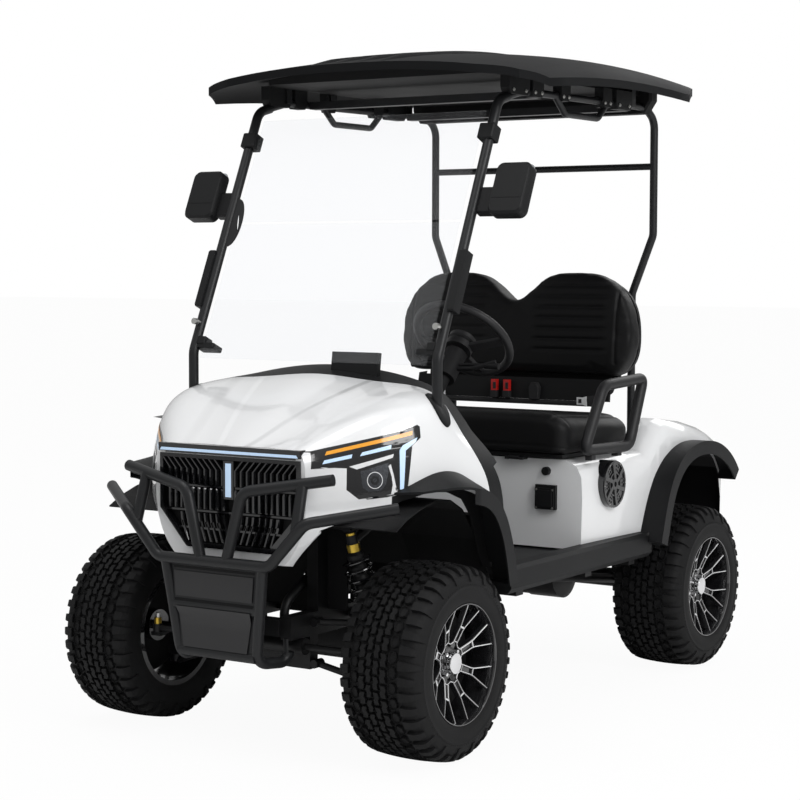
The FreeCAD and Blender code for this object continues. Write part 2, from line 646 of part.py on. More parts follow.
# A shallow flat between the fenders takes a cargo box
deck_flat = Part.makeBox(600, 530, 20, Vector(-300, 560, d.rear_deck - d.deck_recess))
for tool in (rear_opening, other_side(rear_opening), sill_notch, other_side(sill_notch), bay,
             deck_flat):
    rear_body = rear_body.cut(tool)
rear_body = max(rear_body.Solids, key=lambda piece: piece.Volume)
node(shaped("rear_body", rear_body))
sill_space = Part.makeBox(d.sill_width + 2 * d.soft_gap,
                          d.sill_back_y - d.sill_front_y + 2 * d.soft_gap,
                          d.sill_top - d.sill_bottom + 2 * d.soft_gap,
                          Vector(d.sill_inner_x - d.soft_gap, d.sill_front_y - d.soft_gap,
                                 d.sill_bottom - d.soft_gap))
rear_flare = flare(rear_flare_line, rear_flare_line, 540, rear_skin(-d.soft_gap)).cut(sill_space)
rear_flare = max(rear_flare.Solids, key=lambda piece: piece.Volume)
node(shaped("rear_flares", Part.makeCompound([rear_flare, other_side(rear_flare)])))

# Wheel-arch liners: bent black sheet over each tyre
front_liner = strip([(-1030, 690), (-975, 718), (-900, 742), (-820, 757), (-740, 752),
                     (-672, 718), (-590, 620), (-486, 448)], d.liner_wall, d.liner_inner_x,
                    540, 30).cut(sill_space)
rear_liner = strip([(462, 520), (494, 614), (540, 698), (612, 768), (700, 804), (800, 814),
                    (922, 794), (1016, 746), (1060, 704)], d.liner_wall, d.wheel_inner_x - 30,
                   620, 30).cut(sill_space).common(rear_skin(d.body_wall))
rear_liner = max(rear_liner.Solids, key=lambda piece: piece.Volume)
node(shaped("wheel_liners", Part.makeCompound([front_liner, other_side(front_liner),
                                               rear_liner, other_side(rear_liner)])))


def softened(shape, radius, chosen):
    """Round the edges that a test picks."""
    return shape.makeFillet(radius, [edge for edge in shape.Edges if chosen(edge)])


# Seat base: a padded cushion on a pan that hinges at its front edge
cushion = Part.makeBox(2 * d.cushion_half, d.cushion_depth, d.cushion_height,
                       Vector(-d.cushion_half, d.cushion_front, d.cushion_bottom))
cushion = softened(cushion, 48, lambda edge: edge.BoundBox.ZLength > 100)
cushion = softened(cushion, 26, lambda edge: edge.BoundBox.ZMin > d.cushion_top - 1)
node(shaped("seat_cushion", cushion))
pan = Part.makeBox(2 * d.cushion_half - 60, d.cushion_depth - 60, d.pan_thickness - d.soft_gap,
                   Vector(30 - d.cushion_half, d.cushion_front + 30, d.lid_bottom))
knuckles = []
for x in (-340, 300):
    knuckles.append(Part.makeCylinder(d.hinge_radius, 40, Vector(x, d.hinge_y, d.lid_bottom - 4),
                                      ACROSS))
node(shaped("seat_pan", fused([pan] + knuckles)))
# Hinge ears on the seat box, beside the pan's knuckles
ears = []
for x in (-354 - d.soft_gap, -300 + d.soft_gap, 286 - d.soft_gap, 340 + d.soft_gap):
    ears.append(Part.makeBox(14, d.seat_box_front - d.hinge_y + 8, 9,
                             Vector(x, d.hinge_y - 8, d.lid_bottom - 11)))
node(shaped("hinge_ears", Part.makeCompound(ears)))

# Backrest: a two-hump quilted cushion on a moulded shell, leaning back
back_half, back_low = d.backrest_half, d.backrest_bottom


def backrest_block(inset, front, back):
    """The two-hump outline pushed back between two depths."""
    points = [(-back_half + 60 + inset, back_low + inset), (-back_half + 16 + inset, back_low + 60),
              (-back_half + inset, back_low + 165), (-back_half + 40 + inset, d.backrest_hump - 90),
              (-back_half + 140, d.backrest_hump - 12 - inset), (-250, d.backrest_hump - inset),
              (-130, d.backrest_hump - 16 - inset), (0, d.backrest_valley - inset)]
    points = [Vector(x, front, z) for x, z in points]
    points += [Vector(-p.x, p.y, p.z) for p in reversed(points[:-1])]
    arch = Part.BSplineCurve()
    arch.interpolate(points)
    edge = Part.LineSegment(points[-1], points[0]).toShape()
    return Part.Face(Part.Wire([arch.toShape(), edge])).extrude(Vector(0, back - front, 0))


lean_foot = Vector(0, d.backrest_front, back_low)
backrest = backrest_block(0, d.backrest_front, d.backrest_front + d.backrest_thick)
shell = backrest_block(22, d.backrest_front + d.backrest_thick + d.soft_gap,
                       d.backrest_front + d.backrest_thick + d.backrest_shell)
# The shell reaches down under the cushion as a belt panel
belt_low, shell_back = 970, d.backrest_front + d.backrest_thick + d.backrest_shell
panel = side_prism([(556, belt_low), (568, belt_low), (568, back_low - 12),
                    (shell_back, back_low - 12), (shell_back, back_low + 40),
                    (shell_back - 12, back_low + 40), (shell_back - 12, back_low - 4),
                    (556, back_low - 4)], -400, 400)
shell = fused([shell, panel])
for part in (backrest, shell):
    part.rotate(lean_foot, ACROSS, -d.backrest_lean)
node(shaped("backrest_cushion", backrest))
node(shaped("backrest_shell", shell))

# Armrests: closed tube loops bolted to the seat box sides
arm_loop = [(d.armrest_x, y, z) for y, z in (
    (200, 862), (50, 866), (168, 1046), (452, 1060), (356, 854), (200, 862))]
armrest = fused([tube(arm_loop[:4], d.armrest_tube, 34), tube(arm_loop[2:], d.armrest_tube, 34)])
feet = [Part.makeBox(30, 44, 108, Vector(546, y, d.seat_box_top - 46)).cut(
    rear_skin(-d.soft_gap)) for y in (92, 336)]
armrest = fused([armrest] + feet)
node(shaped("armrests", Part.makeCompound([armrest, other_side(armrest)])))

# Front canopy struts: two raked tubes that stand in the body on a hoop
front_strut = tube(strut_route, d.strut_radius, 60)
node(shaped("front_struts", Part.makeCompound([front_strut, other_side(front_strut)])))

# Rear canopy struts with their bolted crossbar and the backrest's brackets
rear_route = [(d.rear_strut_x - 2, d.rear_strut_y - 60, d.strut_top_z + 42),
              (d.rear_strut_x, d.rear_strut_y, d.strut_top_z + 6),
              (d.rear_strut_x, d.rear_strut_y, d.rear_strut_waist),
              (d.rear_strut_low_x, d.rear_strut_y, d.rear_strut_waist - 210),
              (d.rear_strut_low_x, d.rear_strut_y, d.rear_deck + 8)]
rear_strut = tube(rear_route, d.strut_radius - 2, 60)
foot = Part.makeBox(110, 70, 8 - d.body_gap, Vector(d.rear_strut_low_x - 55, d.rear_strut_y - 35,
                                                   d.rear_deck + d.body_gap))
stays = [Part.makeBox(24, 130, 30, Vector(d.rear_strut_low_x - 12, d.rear_strut_y - 126, z))
         for z in (1130, 1290)]
rear_side = fused([rear_strut, foot] + stays).cut(shell).cut(backrest)
rear_side = max(rear_side.Solids, key=lambda piece: piece.Volume)
crossbar = Part.makeCylinder(d.crossbar_radius, 2 * d.rear_strut_x,
                             Vector(-d.rear_strut_x, d.rear_strut_y, d.crossbar_z), ACROSS)
node(shaped("rear_struts", fused([rear_side, other_side(rear_side), crossbar])))

# Roof: one crowned moulding with drooping edges
ROOF_STATIONS = ((0.0, 0.0, 0.0), (0.16, 0.42, 0.45), (0.42, 0.86, 0.95),
                 (0.70, 1.0, 0.98), (1.0, 0.72, 0.60))


def roof_skin(drop):
    """The outer form of the roof, or the space under its wall."""
    wires = []
    for reach, crown_share, edge_share in ROOF_STATIONS:
        y = between(d.roof_front_y - 10, d.roof_rear_y + 10, reach)
        crown = between(d.roof_front_crown, d.roof_crown, crown_share) - drop
        rim = between(d.roof_front_edge, d.roof_edge + 22, edge_share) - drop
        half_roof = d.roof_half_width + 10
        tall = crown - rim
        right = [(half_roof, rim), (0.94 * half_roof, rim + 0.32 * tall),
                 (0.80 * half_roof, rim + 0.60 * tall), (0.55 * half_roof, rim + 0.83 * tall),
                 (0.25 * half_roof, rim + 0.97 * tall)]
        points = [Vector(x, y, z) for x, z in right] + [Vector(0, y, crown)]
        points += [Vector(-p.x, p.y, p.z) for p in reversed(points[:-1])]
        arch = Part.BSplineCurve()
        arch.interpolate(points)
        corners = [points[-1], points[-1] - UP * 200, points[0] - UP * 200, points[0]]
        wires.append(Part.Wire([arch.toShape(), Part.makePolygon(corners)]))
    return Part.makeLoft(wires, True, False)


plan = [(-470, d.roof_front_y + 30), (0, d.roof_front_y), (470, d.roof_front_y + 30),
        (d.roof_half_width - 50, d.roof_front_y + 90), (d.roof_half_width, d.roof_front_y + 190),
        (d.roof_half_width, d.roof_rear_y - 160), (d.roof_half_width - 50, d.roof_rear_y - 30),
        (470, d.roof_rear_y), (-470, d.roof_rear_y)]
plan += [(-d.roof_half_width + 50, d.roof_rear_y - 30), (-d.roof_half_width, d.roof_rear_y - 160),
         (-d.roof_half_width, d.roof_front_y + 190), (-d.roof_half_width + 50, d.roof_front_y + 90)]
plan_face = Part.Face(Part.makePolygon([Vector(x, y, 1800) for x, y in plan + plan[:1]]))
roof = roof_skin(0).cut(roof_skin(d.roof_wall)).common(plan_face.extrude(Vector(0, 0, 500)))
roof = max(roof.Solids, key=lambda piece: piece.Volume)
roof = roof.cut(Part.makeBox(2000, 2000, 400, Vector(-1000, -1000, 1560)))
node(shaped("roof", max(roof.Solids, key=lambda piece: piece.Volume)))

# Roof rails: side tubes under the roof that carry it on the struts, with
# the grab handles below them
rail_x = d.strut_foot_x - 3
pieces = [tube([(rail_x, d.strut_top_y + 60, d.strut_top_z + 16),
                (rail_x, d.strut_top_y + 160, d.strut_top_z + 40),
                (rail_x, d.rear_strut_y - 150, d.strut_top_z + 46),
                (rail_x, d.rear_strut_y - 60, d.strut_top_z + 42)],
               d.strut_radius - 4, 60),
          tube([(rail_x, 20, 2004), (rail_x, 90, 1947), (rail_x, 322, 1947), (rail_x, 392, 2004)],
               d.handle_tube, 30)]
roof_rail = fused(pieces).cut(front_strut).cut(rear_strut)
roof_rail = max(roof_rail.Solids, key=lambda piece: piece.Volume)
bows = []
for y in (-60, 560):
    bows.append(Part.makeBox(2 * rail_x - 30, 40, 26, Vector(15 - rail_x, y - 20, 1988)))
under_roof = roof_skin(d.roof_wall + d.soft_gap)
posts = []
for y in (-200, 60, 560):
    post = Part.makeBox(34, 30, 300, Vector(rail_x - 17, y - 15, 2000)).common(under_roof)
    posts += [post, other_side(post)]
node(shaped("roof_rails", fused([roof_rail, other_side(roof_rail)] + bows + posts)))

# Windshield: two clear panes one above the other, in the plane of the struts
rake = (d.strut_top_y - d.strut_foot_y) / (d.strut_top_z - d.strut_bend_z)


def on_screen(z, x=0.0, off=0.0):
    """A point of the windshield's plane at a height, or off in front of it."""
    return Vector(x, d.strut_foot_y + (z - d.strut_bend_z) * rake - off, z)


def pane(bottom, top, grow=0.0):
    """One pane between two heights."""
    thick = d.pane_wall / 2 + grow
    outline = [(on_screen(z, off=side).y, z) for z, side in (
        (bottom, thick), (top, thick), (top, -thick), (bottom, -thick))]
    return side_prism(outline, -d.pane_half - grow, d.pane_half + grow)


lower_pane = pane(d.pane_bottom, d.pane_seam - d.pane_gap / 2)
upper_pane = pane(d.pane_seam + d.pane_gap / 2, d.pane_top)
node(shaped("windshield", Part.makeCompound([lower_pane, upper_pane])))

# Clamps that hold the panes to the struts: long covers, seam plates and clips
strut_axis = (on_screen(d.strut_top_z) - on_screen(d.strut_bend_z)).normalize()
clamps = []
for low_z, high_z, sleeve in ((1270, 1500, 22), (1560, 1612, 21), (1836, 1878, 22)):
    start, end = on_screen(low_z, d.strut_foot_x), on_screen(high_z, d.strut_foot_x)
    ring = Part.makeCylinder(sleeve, (end - start).Length, start, strut_axis)
    tongue = side_prism([(on_screen(z, off=side).y, z) for z, side in (
        (low_z, 9), (high_z, 9), (high_z, -9), (low_z, -9))], d.pane_half - 14, d.strut_foot_x)
    clamp = ring.fuse(tongue).cut(front_strut)
    clamps.append(clamp.cut(pane(d.pane_bottom, d.pane_top, 0.2)))
clip = side_prism([(on_screen(z, off=side).y, z) for z, side in (
    (1196, 16), (1222, 16), (1222, -12), (1196, -12))], 340, d.strut_foot_x)
clamps.append(clip.cut(front_strut).cut(pane(d.pane_bottom, d.pane_top, 0.2)))
clamps = [max(clamp.Solids, key=lambda piece: piece.Volume) for clamp in clamps]
node(shaped("windshield_clamps", Part.makeCompound(clamps + [other_side(c) for c in clamps])))

# Mirrors: rounded housings on arms from the struts, their glass to the rear
housing = Part.makeBox(d.mirror_width, d.mirror_depth, d.mirror_height,
                       Vector(d.mirror_x - d.mirror_width / 2, d.mirror_y - d.mirror_depth / 2,
                              d.mirror_z - d.mirror_height / 2))
housing = softened(housing, 24, lambda edge: edge.BoundBox.YLength > 20)
housing = softened(housing, 12, lambda edge: edge.BoundBox.YMax < d.mirror_y)
mirror_arm = tube([(d.mirror_x - 40, d.mirror_y, 1668), (516, d.mirror_y, 1668),
                   (d.strut_foot_x, on_screen(1640).y, 1640)], 10, 20)
mirror = housing.fuse(mirror_arm).cut(front_strut)
mirror = max(mirror.Solids, key=lambda piece: piece.Volume)
node(shaped("mirrors", Part.makeCompound([mirror, other_side(mirror)])))

# Steering column: a fixed jacket with its shroud and stalk
jacket = on_column(d.column_start, d.column_end, d.column_radius)
shroud = on_column(d.column_start, d.column_start + 110, d.column_radius + 16)
stalk_root = wheel_hub - column_axis * (d.column_start + 70)
stalk = tube([(stalk_root.x, stalk_root.y, stalk_root.z),
              (stalk_root.x + 90, stalk_root.y + 4, stalk_root.z + 4),
              (stalk_root.x + 165, stalk_root.y + 24, stalk_root.z + 26)], 8, 40)
bracket = Part.makeBox(36, 74, 56, Vector(d.column_x - 18, -566, 850)).cut(dash)
jacket = fused([jacket, shroud, stalk, bracket]).cut(
    on_column(d.column_start - 50, d.column_end + 50, d.shaft_radius + d.pin_clearance))
node(shaped("steering_column", jacket))

# Hand wheel: a round grip on three dished spokes, with its shaft
grip = Part.makeTorus(d.hand_wheel_radius, d.hand_wheel_grip)
hub_top = -d.hand_wheel_dish + 8
wheel_parts = [grip, Part.makeCylinder(46, 24, Vector(0, 0, hub_top - 24))]
for turn in (0, 90, 180):
    spoke = side_prism([(30, hub_top - 18), (d.hand_wheel_radius, -7), (d.hand_wheel_radius, 5),
                        (30, hub_top - 4)], -15, 15)
    spoke.rotate(Vector(), UP, turn - 90)
    wheel_parts.append(spoke)
wheel_parts.append(Part.makeCylinder(d.shaft_radius, d.shaft_end + hub_top - 20,
                                     Vector(0, 0, -d.shaft_end)))
hand_wheel = fused(wheel_parts)
hand_wheel.rotate(Vector(), ACROSS, -d.column_tilt)
hand_wheel.translate(wheel_hub)
node(shaped("steering_wheel", hand_wheel))

# Steering gear: the rack's housing under the rails, with the covered lower
# shaft that joins its pinion to the column
rack_housing = Part.makeCylinder(d.rack_housing_radius, 2 * d.rack_housing_half,
                                 Vector(-d.rack_housing_half, d.rack_y, d.rack_z), ACROSS)
top_joint = wheel_hub - column_axis * (d.shaft_end + 6)
low_joint = wheel_hub - column_axis * (d.shaft_end + 150)
cover = tube([tuple(top_joint), tuple(low_joint), (120, -850, 520), (120, d.rack_y, 440),
              (120, d.rack_y, d.rack_z)], 14, 60)
gear = fused([rack_housing, cover]).cut(
    Part.makeCylinder(d.rack_rod_radius + d.pin_clearance, 2 * d.rack_housing_half + 20,
                      Vector(-d.rack_housing_half - 10, d.rack_y, d.rack_z), ACROSS))
node(shaped("steering_gear", gear))

# Bulkhead: a flat black panel behind the tower, with a hole for the shaft
bulkhead = Part.makeBox(524, 6, d.tower_top - d.rail_top,
                        Vector(-262, d.front_axle_y - 29, d.rail_top + d.soft_gap))
bulkhead = bulkhead.cut(tube([(120, -850, 520), (120, d.rack_y, 440)], 22))
bulkhead = bulkhead.cut(tube([tuple(low_joint), (120, -850, 520)], 22))
node(shaped("bulkhead", max(bulkhead.Solids, key=lambda piece: piece.Volume)))

# Rack rod with its tie-rod ends, which rest on the knuckles' arms
tie_x = d.steering_arm_x
rod = Part.makeCylinder(d.rack_rod_radius, 2 * tie_x, Vector(-tie_x, d.rack_y, d.rack_z), ACROSS)
tie_ends = [Part.makeCylinder(d.tie_end_radius, 24, Vector(x, d.rack_y, d.rack_z - 12))
            for x in (-tie_x, tie_x)]
node(shaped("steering_rack", fused([rod] + tie_ends)))

# Control arms: upper and lower wishbones each side, with eyes on the kingpin
arms = []
axle_y = d.front_axle_y
shock_bracket = Part.makeBox(20, 26, 40, Vector(335, -835, 214))
eye_low, eye_high = d.tyre_radius - d.kingpin_half_height, d.tyre_radius + d.kingpin_half_height
for z, foot_z, tip_z in ((eye_low, d.arm_foot_z, eye_low - 8), (eye_high, eye_high, eye_high)):
    eye = Part.makeCylinder(d.eye_radius, d.eye_thickness,
                            Vector(d.kingpin_x, axle_y, z - d.eye_thickness / 2))
    parts = [eye]
    for side in (-1, 1):
        foot_y = axle_y + side * d.arm_foot_spread
        tip = (d.kingpin_x - 14, axle_y + side * 8, tip_z)
        parts.append(tube([(d.arm_foot_x, foot_y, foot_z), tip], d.arm_tube_radius - 3))
        parts.append(Part.makeCylinder(d.arm_tube_radius, 40,
                                       Vector(d.arm_foot_x, foot_y - 20, foot_z), ALONG))
    if z < d.tyre_radius:
        parts.append(shock_bracket)
    bore = Part.makeCylinder(d.kingpin_radius + d.pin_clearance, 60,
                             Vector(d.kingpin_x, axle_y, z - 30))
    arms.append(fused(parts).cut(bore))
node(shaped("control_arms", Part.makeCompound(arms + [other_side(arm) for arm in arms])))


def damper(foot, head):
    """A coil-over: a damper body in a spring drawn as stacked turns, with eyes."""
    axis = head - foot
    length = axis.Length
    coil_low, coil_high = 0.24 * length, 0.84 * length
    pitch = (coil_high - coil_low) / d.spring_turns
    profile = [(0, 8), (d.shock_radius, 8), (d.shock_radius, coil_low)]
    for turn in range(int(d.spring_turns)):
        low = coil_low + turn * pitch
        profile += [(d.spring_radius - d.spring_wire, low), (d.spring_radius, low + 0.25 * pitch),
                    (d.spring_radius, low + 0.6 * pitch),
                    (d.spring_radius - d.spring_wire, low + 0.85 * pitch)]
    profile += [(d.shock_radius, coil_high), (d.shock_radius, length - 22), (0, length - 22)]
    corners = [Vector(r, 0, z) for r, z in profile]
    turned = Part.Face(Part.makePolygon(corners + corners[:1])).revolve(Vector(), UP, 360)
    turned.Placement = Placement(foot, Rotation(UP, axis))
    eyes = [Part.makeCylinder(16, 28, point - ACROSS * 14, ACROSS) for point in (foot, head)]
    neck = Part.makeCylinder(10, 30, head - axis.normalize() * 30, axis)
    return fused([turned, neck] + eyes)


# Coil-over shock absorbers, front and rear
front_damper = damper(Vector(345, -822, 258), Vector(286, -900, d.tower_top - 32))
front_damper = front_damper.cut(Part.makeCylinder(8, 200, Vector(190, -900, d.tower_top - 32),
                                                  ACROSS))
front_damper = front_damper.cut(shock_bracket)
rear_head = Vector(280, d.rear_axle_y - 100, 630)
rear_damper = damper(Vector(300, d.rear_axle_y - 22, d.tyre_radius + d.axle_tube + 34), rear_head)
rear_damper = rear_damper.cut(Part.makeCylinder(8, 200, Vector(190, rear_head.y, rear_head.z),
                                                ACROSS))
node(shaped("shock_absorbers", Part.makeCompound([front_damper, other_side(front_damper),
                                                  rear_damper, other_side(rear_damper)])))

# Knuckles: an upright with its kingpins, wheel spindle and steering arm
low_pin = d.tyre_radius - d.kingpin_half_height
high_pin = d.tyre_radius + d.kingpin_half_height
half_eye = d.eye_thickness / 2
upright = Part.makeBox(40, 40, high_pin - low_pin - d.eye_thickness - 2,
                       Vector(d.kingpin_x - 20, axle_y - 20, low_pin + half_eye + 1))
kingpin = Part.makeCylinder(d.kingpin_radius, high_pin - low_pin + d.eye_thickness,
                            Vector(d.kingpin_x, axle_y, low_pin - half_eye))
spindle = Part.makeCylinder(d.spindle_radius, 168, Vector(d.kingpin_x, axle_y, d.tyre_radius),
                            ACROSS)
arm_top = d.rack_z - 12 - d.soft_gap
arm_outline = [(406, axle_y + 10), (434, axle_y + 10), (434, axle_y - 30), (388, d.rack_y - 12),
               (352, d.rack_y - 12), (352, d.rack_y + 14), (400, axle_y - 34)]
arm_corners = [Vector(x, y, arm_top - 12) for x, y in arm_outline]
steer_arm = Part.Face(Part.makePolygon(arm_corners + arm_corners[:1])).extrude(UP * 12)
knuckle = fused([upright, kingpin, spindle, steer_arm])
node(shaped("knuckle_left", knuckle))
node(shaped("knuckle_right", other_side(knuckle)))

# Rear axle: tube, gear case, drums and stub shafts, with the motor before it
rear_y, wheel_z = d.rear_axle_y, d.tyre_radius
spring_seats = [Part.makeBox(36, 36, 26, Vector(x - 18, rear_y - 40, wheel_z + d.axle_tube - 4))
                for x in (-300, 300)]
drum_start = d.wheel_inner_x - 20
axle_parts = [Part.makeCylinder(d.axle_tube, 2 * drum_start, Vector(-drum_start, rear_y, wheel_z),
                                ACROSS),
              Part.makeCylinder(d.case_radius, 130, Vector(-65, rear_y, wheel_z), ACROSS),
              Part.makeCylinder(d.spindle_radius, 2 * (d.kingpin_x + 168),
                                Vector(-d.kingpin_x - 168, rear_y, wheel_z), ACROSS)]
for x in (-drum_start - d.drum_width, drum_start):
    axle_parts.append(Part.makeCylinder(d.drum_radius, d.drum_width, Vector(x, rear_y, wheel_z),
                                        ACROSS))
axle = fused(axle_parts + spring_seats)
axle = axle.cut(rear_damper).cut(other_side(rear_damper))
node(shaped("rear_axle", max(axle.Solids, key=lambda piece: piece.Volume)))
motor = Part.makeCylinder(d.motor_radius, d.motor_length,
                          Vector(-68, rear_y - 158, wheel_z + 22), ACROSS).cut(axle)
node(shaped("drive_motor", max(motor.Solids, key=lambda piece: piece.Volume)))
trailing = tube([(300, d.seat_box_front + 84, d.rail_top - 32), (300, 330, d.rail_top - 50),
                 (300, rear_y - 10, wheel_z)], 17, 80).cut(axle)
trailing = max(trailing.Solids, key=lambda piece: piece.Volume)
hanger_block = Part.makeBox(36, 36, 50, Vector(282, d.seat_box_front + 52, d.rail_top - 50))
trailing = trailing.cut(hanger_block)
node(shaped("rear_arms", Part.makeCompound([trailing, other_side(trailing)])))

# Battery: one sealed block on the floor beams, under the seat
node(box("battery_pack", ("-battery_width / 2", "battery_width / 2"),
         ("seat_box_front + 50", "seat_box_front + 50 + battery_length"),
         ("floor_top", "floor_top + battery_height")))

# Rear lamps and bumper
tail = box("tail_lamp", ("430", "496"), ("rear_body_end", "rear_body_end + 14"), ("630", "740"))
node(both_sides("tail_lamps", tail))
bumper = [tube([(-d.bumper_half, d.bumper_y - 60, d.bumper_z),
                (-d.bumper_half + 50, d.bumper_y, d.bumper_z),
                (d.bumper_half - 50, d.bumper_y, d.bumper_z),
                (d.bumper_half, d.bumper_y - 60, d.bumper_z)], d.guard_tube, 50)]
for x in (-d.rail_x, d.rail_x):
    bumper.append(tube([(x, d.bumper_y, d.bumper_z), (x, d.bumper_y, 380),
                        (x, d.bumper_y - 40, 380)], 14, 24))
node(shaped("rear_bumper", fused(bumper)))

# Round speaker pods on the seat box sides, and the charging socket in front
skin = rear_skin(-d.soft_gap)
pod = Part.makeCylinder(80, 60, Vector(524, 236, 716), ACROSS).cut(skin)
pod = max(pod.Solids, key=lambda piece: piece.Volume)
node(shaped("speakers", Part.makeCompound([pod, other_side(pod)])))
socket_box = box("socket_box", ("392", "468"), ("seat_box_front - 14", "seat_box_front"),
                 ("640", "722"))
socket_cap = cylinder("socket_cap", "y", "14", "430", "seat_box_front - 16", "768", "16")
node(group("Compound", "charge_port", [socket_box, socket_cap]))

# Foot pedals on arms from the toe board
pedals = []
for x, width in ((150, 60), (300, 74)):
    plate = side_prism([(-470, 640), (-436, 556), (-428, 559), (-462, 643)],
                       x - width / 2, x + width / 2)
    arm = side_prism([(-535, 660), (-462, 616), (-458, 622), (-528, 672)], x - 8, x + 8)
    pedals.append(fused([plate, arm]))
toe = side_prism([(d.floor_front_y, d.floor_top), (d.floor_front_y - 110, d.floor_top + 190),
                  (d.floor_front_y - 400, d.floor_top + 190), (d.floor_front_y - 400, 0)],
                 -600, 600)
pedals = [pedal.cut(toe) for pedal in pedals]
node(shaped("pedals", Part.makeCompound([max(p.Solids, key=lambda s: s.Volume) for p in pedals])))


def ring_of_flats(profile, sides):
    """A ring about the X axis with flat sides, from points of x and radius."""
    faces = []
    stretch = 1 / math.cos(math.pi / sides)

    def corner(point, side):
        x, radius = point
        angle = 2 * math.pi * (side - 0.5) / sides
        return Vector(x, radius * stretch * math.sin(angle), -radius * stretch * math.cos(angle))

    for start, end in zip(profile, profile[1:] + profile[:1]):
        for side in range(sides):
            around = [corner(start, side), corner(end, side), corner(end, side + 1),
                      corner(start, side + 1)]
            faces.append(Part.Face(Part.makePolygon(around + around[:1])))
    solid = Part.Solid(Part.Shell(faces))
    if solid.Volume < 0:
        solid.reverse()
    return solid


# Tyres: a carcass with a raised centre band and staggered shoulder lugs. The
# flats around it are one to each lug and each gap between lugs.
half_tyre, half_tread = d.tyre_width / 2, d.tread_width / 2
bead_x = d.rim_width / 2 - 8
root = d.tyre_radius - d.tread_depth
sides = int(d.tyre_sides)
carcass = ring_of_flats([(-bead_x, 150), (-bead_x, 190), (-half_tyre, 240),
                         (-half_tread - 8, root - 8), (-half_tread, root), (half_tread, root),
                         (half_tread + 8, root - 8), (half_tyre, 240), (bead_x, 190),
                         (bead_x, 150)], sides)
half_band = half_tread - d.shoulder_lug_width - 12
band = ring_of_flats([(-half_band, root - 10), (-half_band, d.tyre_radius),
                      (half_band, d.tyre_radius), (half_band, root - 10)], sides)
half_lug = math.tan(math.pi / sides) * root
lugs = []
for side in range(sides):
    hand = 1 if side % 2 else -1
    lug = Part.makeBox(d.shoulder_lug_width + 4, 2 * half_lug, d.tread_depth + 6,
                       Vector(half_tread - d.shoulder_lug_width, -half_lug, -d.tyre_radius))
    if hand < 0:
        lug = lug.mirror(Vector(), ACROSS)
    lug.rotate(Vector(), ACROSS, 360 * side / sides)
    lugs.append(lug)
tyre = carcass.multiFuse([band] + lugs)
tyre = tyre.cut(Part.makeCylinder(d.rim_radius, 2 * d.tyre_width,
                                  Vector(-d.tyre_width, 0, 0), ACROSS))
lip_radius = d.rim_radius + d.rim_lip
for x in (bead_x, -bead_x - 8):
    tyre = tyre.cut(Part.makeCylinder(lip_radius, 8, Vector(x, 0, 0), ACROSS))

# Rims: a barrel with outer lips, eight split spokes, a hub and its cap
half_rim = d.rim_width / 2
barrel = Part.makeCylinder(d.rim_radius, d.rim_width, Vector(-half_rim, 0, 0), ACROSS)
for x in (-half_rim, bead_x):
    barrel = barrel.fuse(Part.makeCylinder(lip_radius, 8, Vector(x, 0, 0), ACROSS))
barrel = barrel.cut(Part.makeCylinder(d.rim_radius - d.rim_wall, d.rim_width,
                                      Vector(-half_rim, 0, 0), ACROSS))
face_x = half_rim - d.disc_inset
prong = [(6, 50), (d.spoke_width, 40), (d.spoke_width + 1, 104),
         (d.spoke_spread + 8, d.rim_radius - 5), (d.spoke_spread - 6, d.rim_radius - 5), (6, 114)]
spokes = []
for number in range(int(d.spoke_count)):
    for hand in (-1, 1):
        corners = [Vector(face_x - d.disc_thickness, hand * u, v) for u, v in prong]
        piece = Part.Face(Part.makePolygon(corners + corners[:1]))
        piece = piece.extrude(ACROSS * d.disc_thickness)
        piece.rotate(Vector(), ACROSS, 360 * number / d.spoke_count)
        spokes.append(piece)
    bridge = Part.makeBox(d.disc_thickness, 12, 14, Vector(face_x - d.disc_thickness, -6, 100))
    bridge.rotate(Vector(), ACROSS, 360 * number / d.spoke_count)
    spokes.append(bridge)
hub_back = -30
hub = Part.makeCylinder(d.hub_radius, face_x - hub_back, Vector(hub_back, 0, 0), ACROSS)
cap = Part.makeCylinder(d.cap_radius, d.cap_length, Vector(face_x, 0, 0), ACROSS)
rim = fused([barrel, hub, cap] + spokes)
spindle_end = d.kingpin_x + 168 - d.track / 2 + 1
rim = rim.cut(Part.makeCylinder(d.spindle_radius + d.pin_clearance, spindle_end - hub_back,
                                Vector(hub_back, 0, 0), ACROSS))
for corner_name, side, place in (("fl", 1, d.front_axle_y), ("fr", -1, d.front_axle_y),
                                 ("rl", 1, d.rear_axle_y), ("rr", -1, d.rear_axle_y)):
    for label, shape in (("tyre_", tyre), ("rim_", rim)):
        piece = shape if side > 0 else other_side(shape)
        piece = piece.copy()
        piece.translate(Vector(side * d.track / 2, place, d.tyre_radius))
        node(shaped(label + corner_name, piece))


doc.recompute()
doc.removeObject("probe")
for thing in doc.Objects:
    if "Invalid" in thing.State or "Error" in thing.State:
        raise RuntimeError(f"{thing.Label} failed to build")
for thing in nodes:
    if thing.Shape.isNull() or not thing.Shape.isValid():
        raise RuntimeError(f"{thing.Label} has no sound shape")
    thing.Shape.exportStep(f"parts/{thing.Label}.step")
    print(f"{thing.Label}: {len(thing.Shape.Solids)} solids, {thing.Shape.Volume / 1e6:.3f} litres")
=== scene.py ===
import bmesh
import bpy
import math
from mathutils import Matrix, Quaternion, Vector
from mathutils.bvhtree import BVHTree
from mathutils.geometry import tessellate_polygon


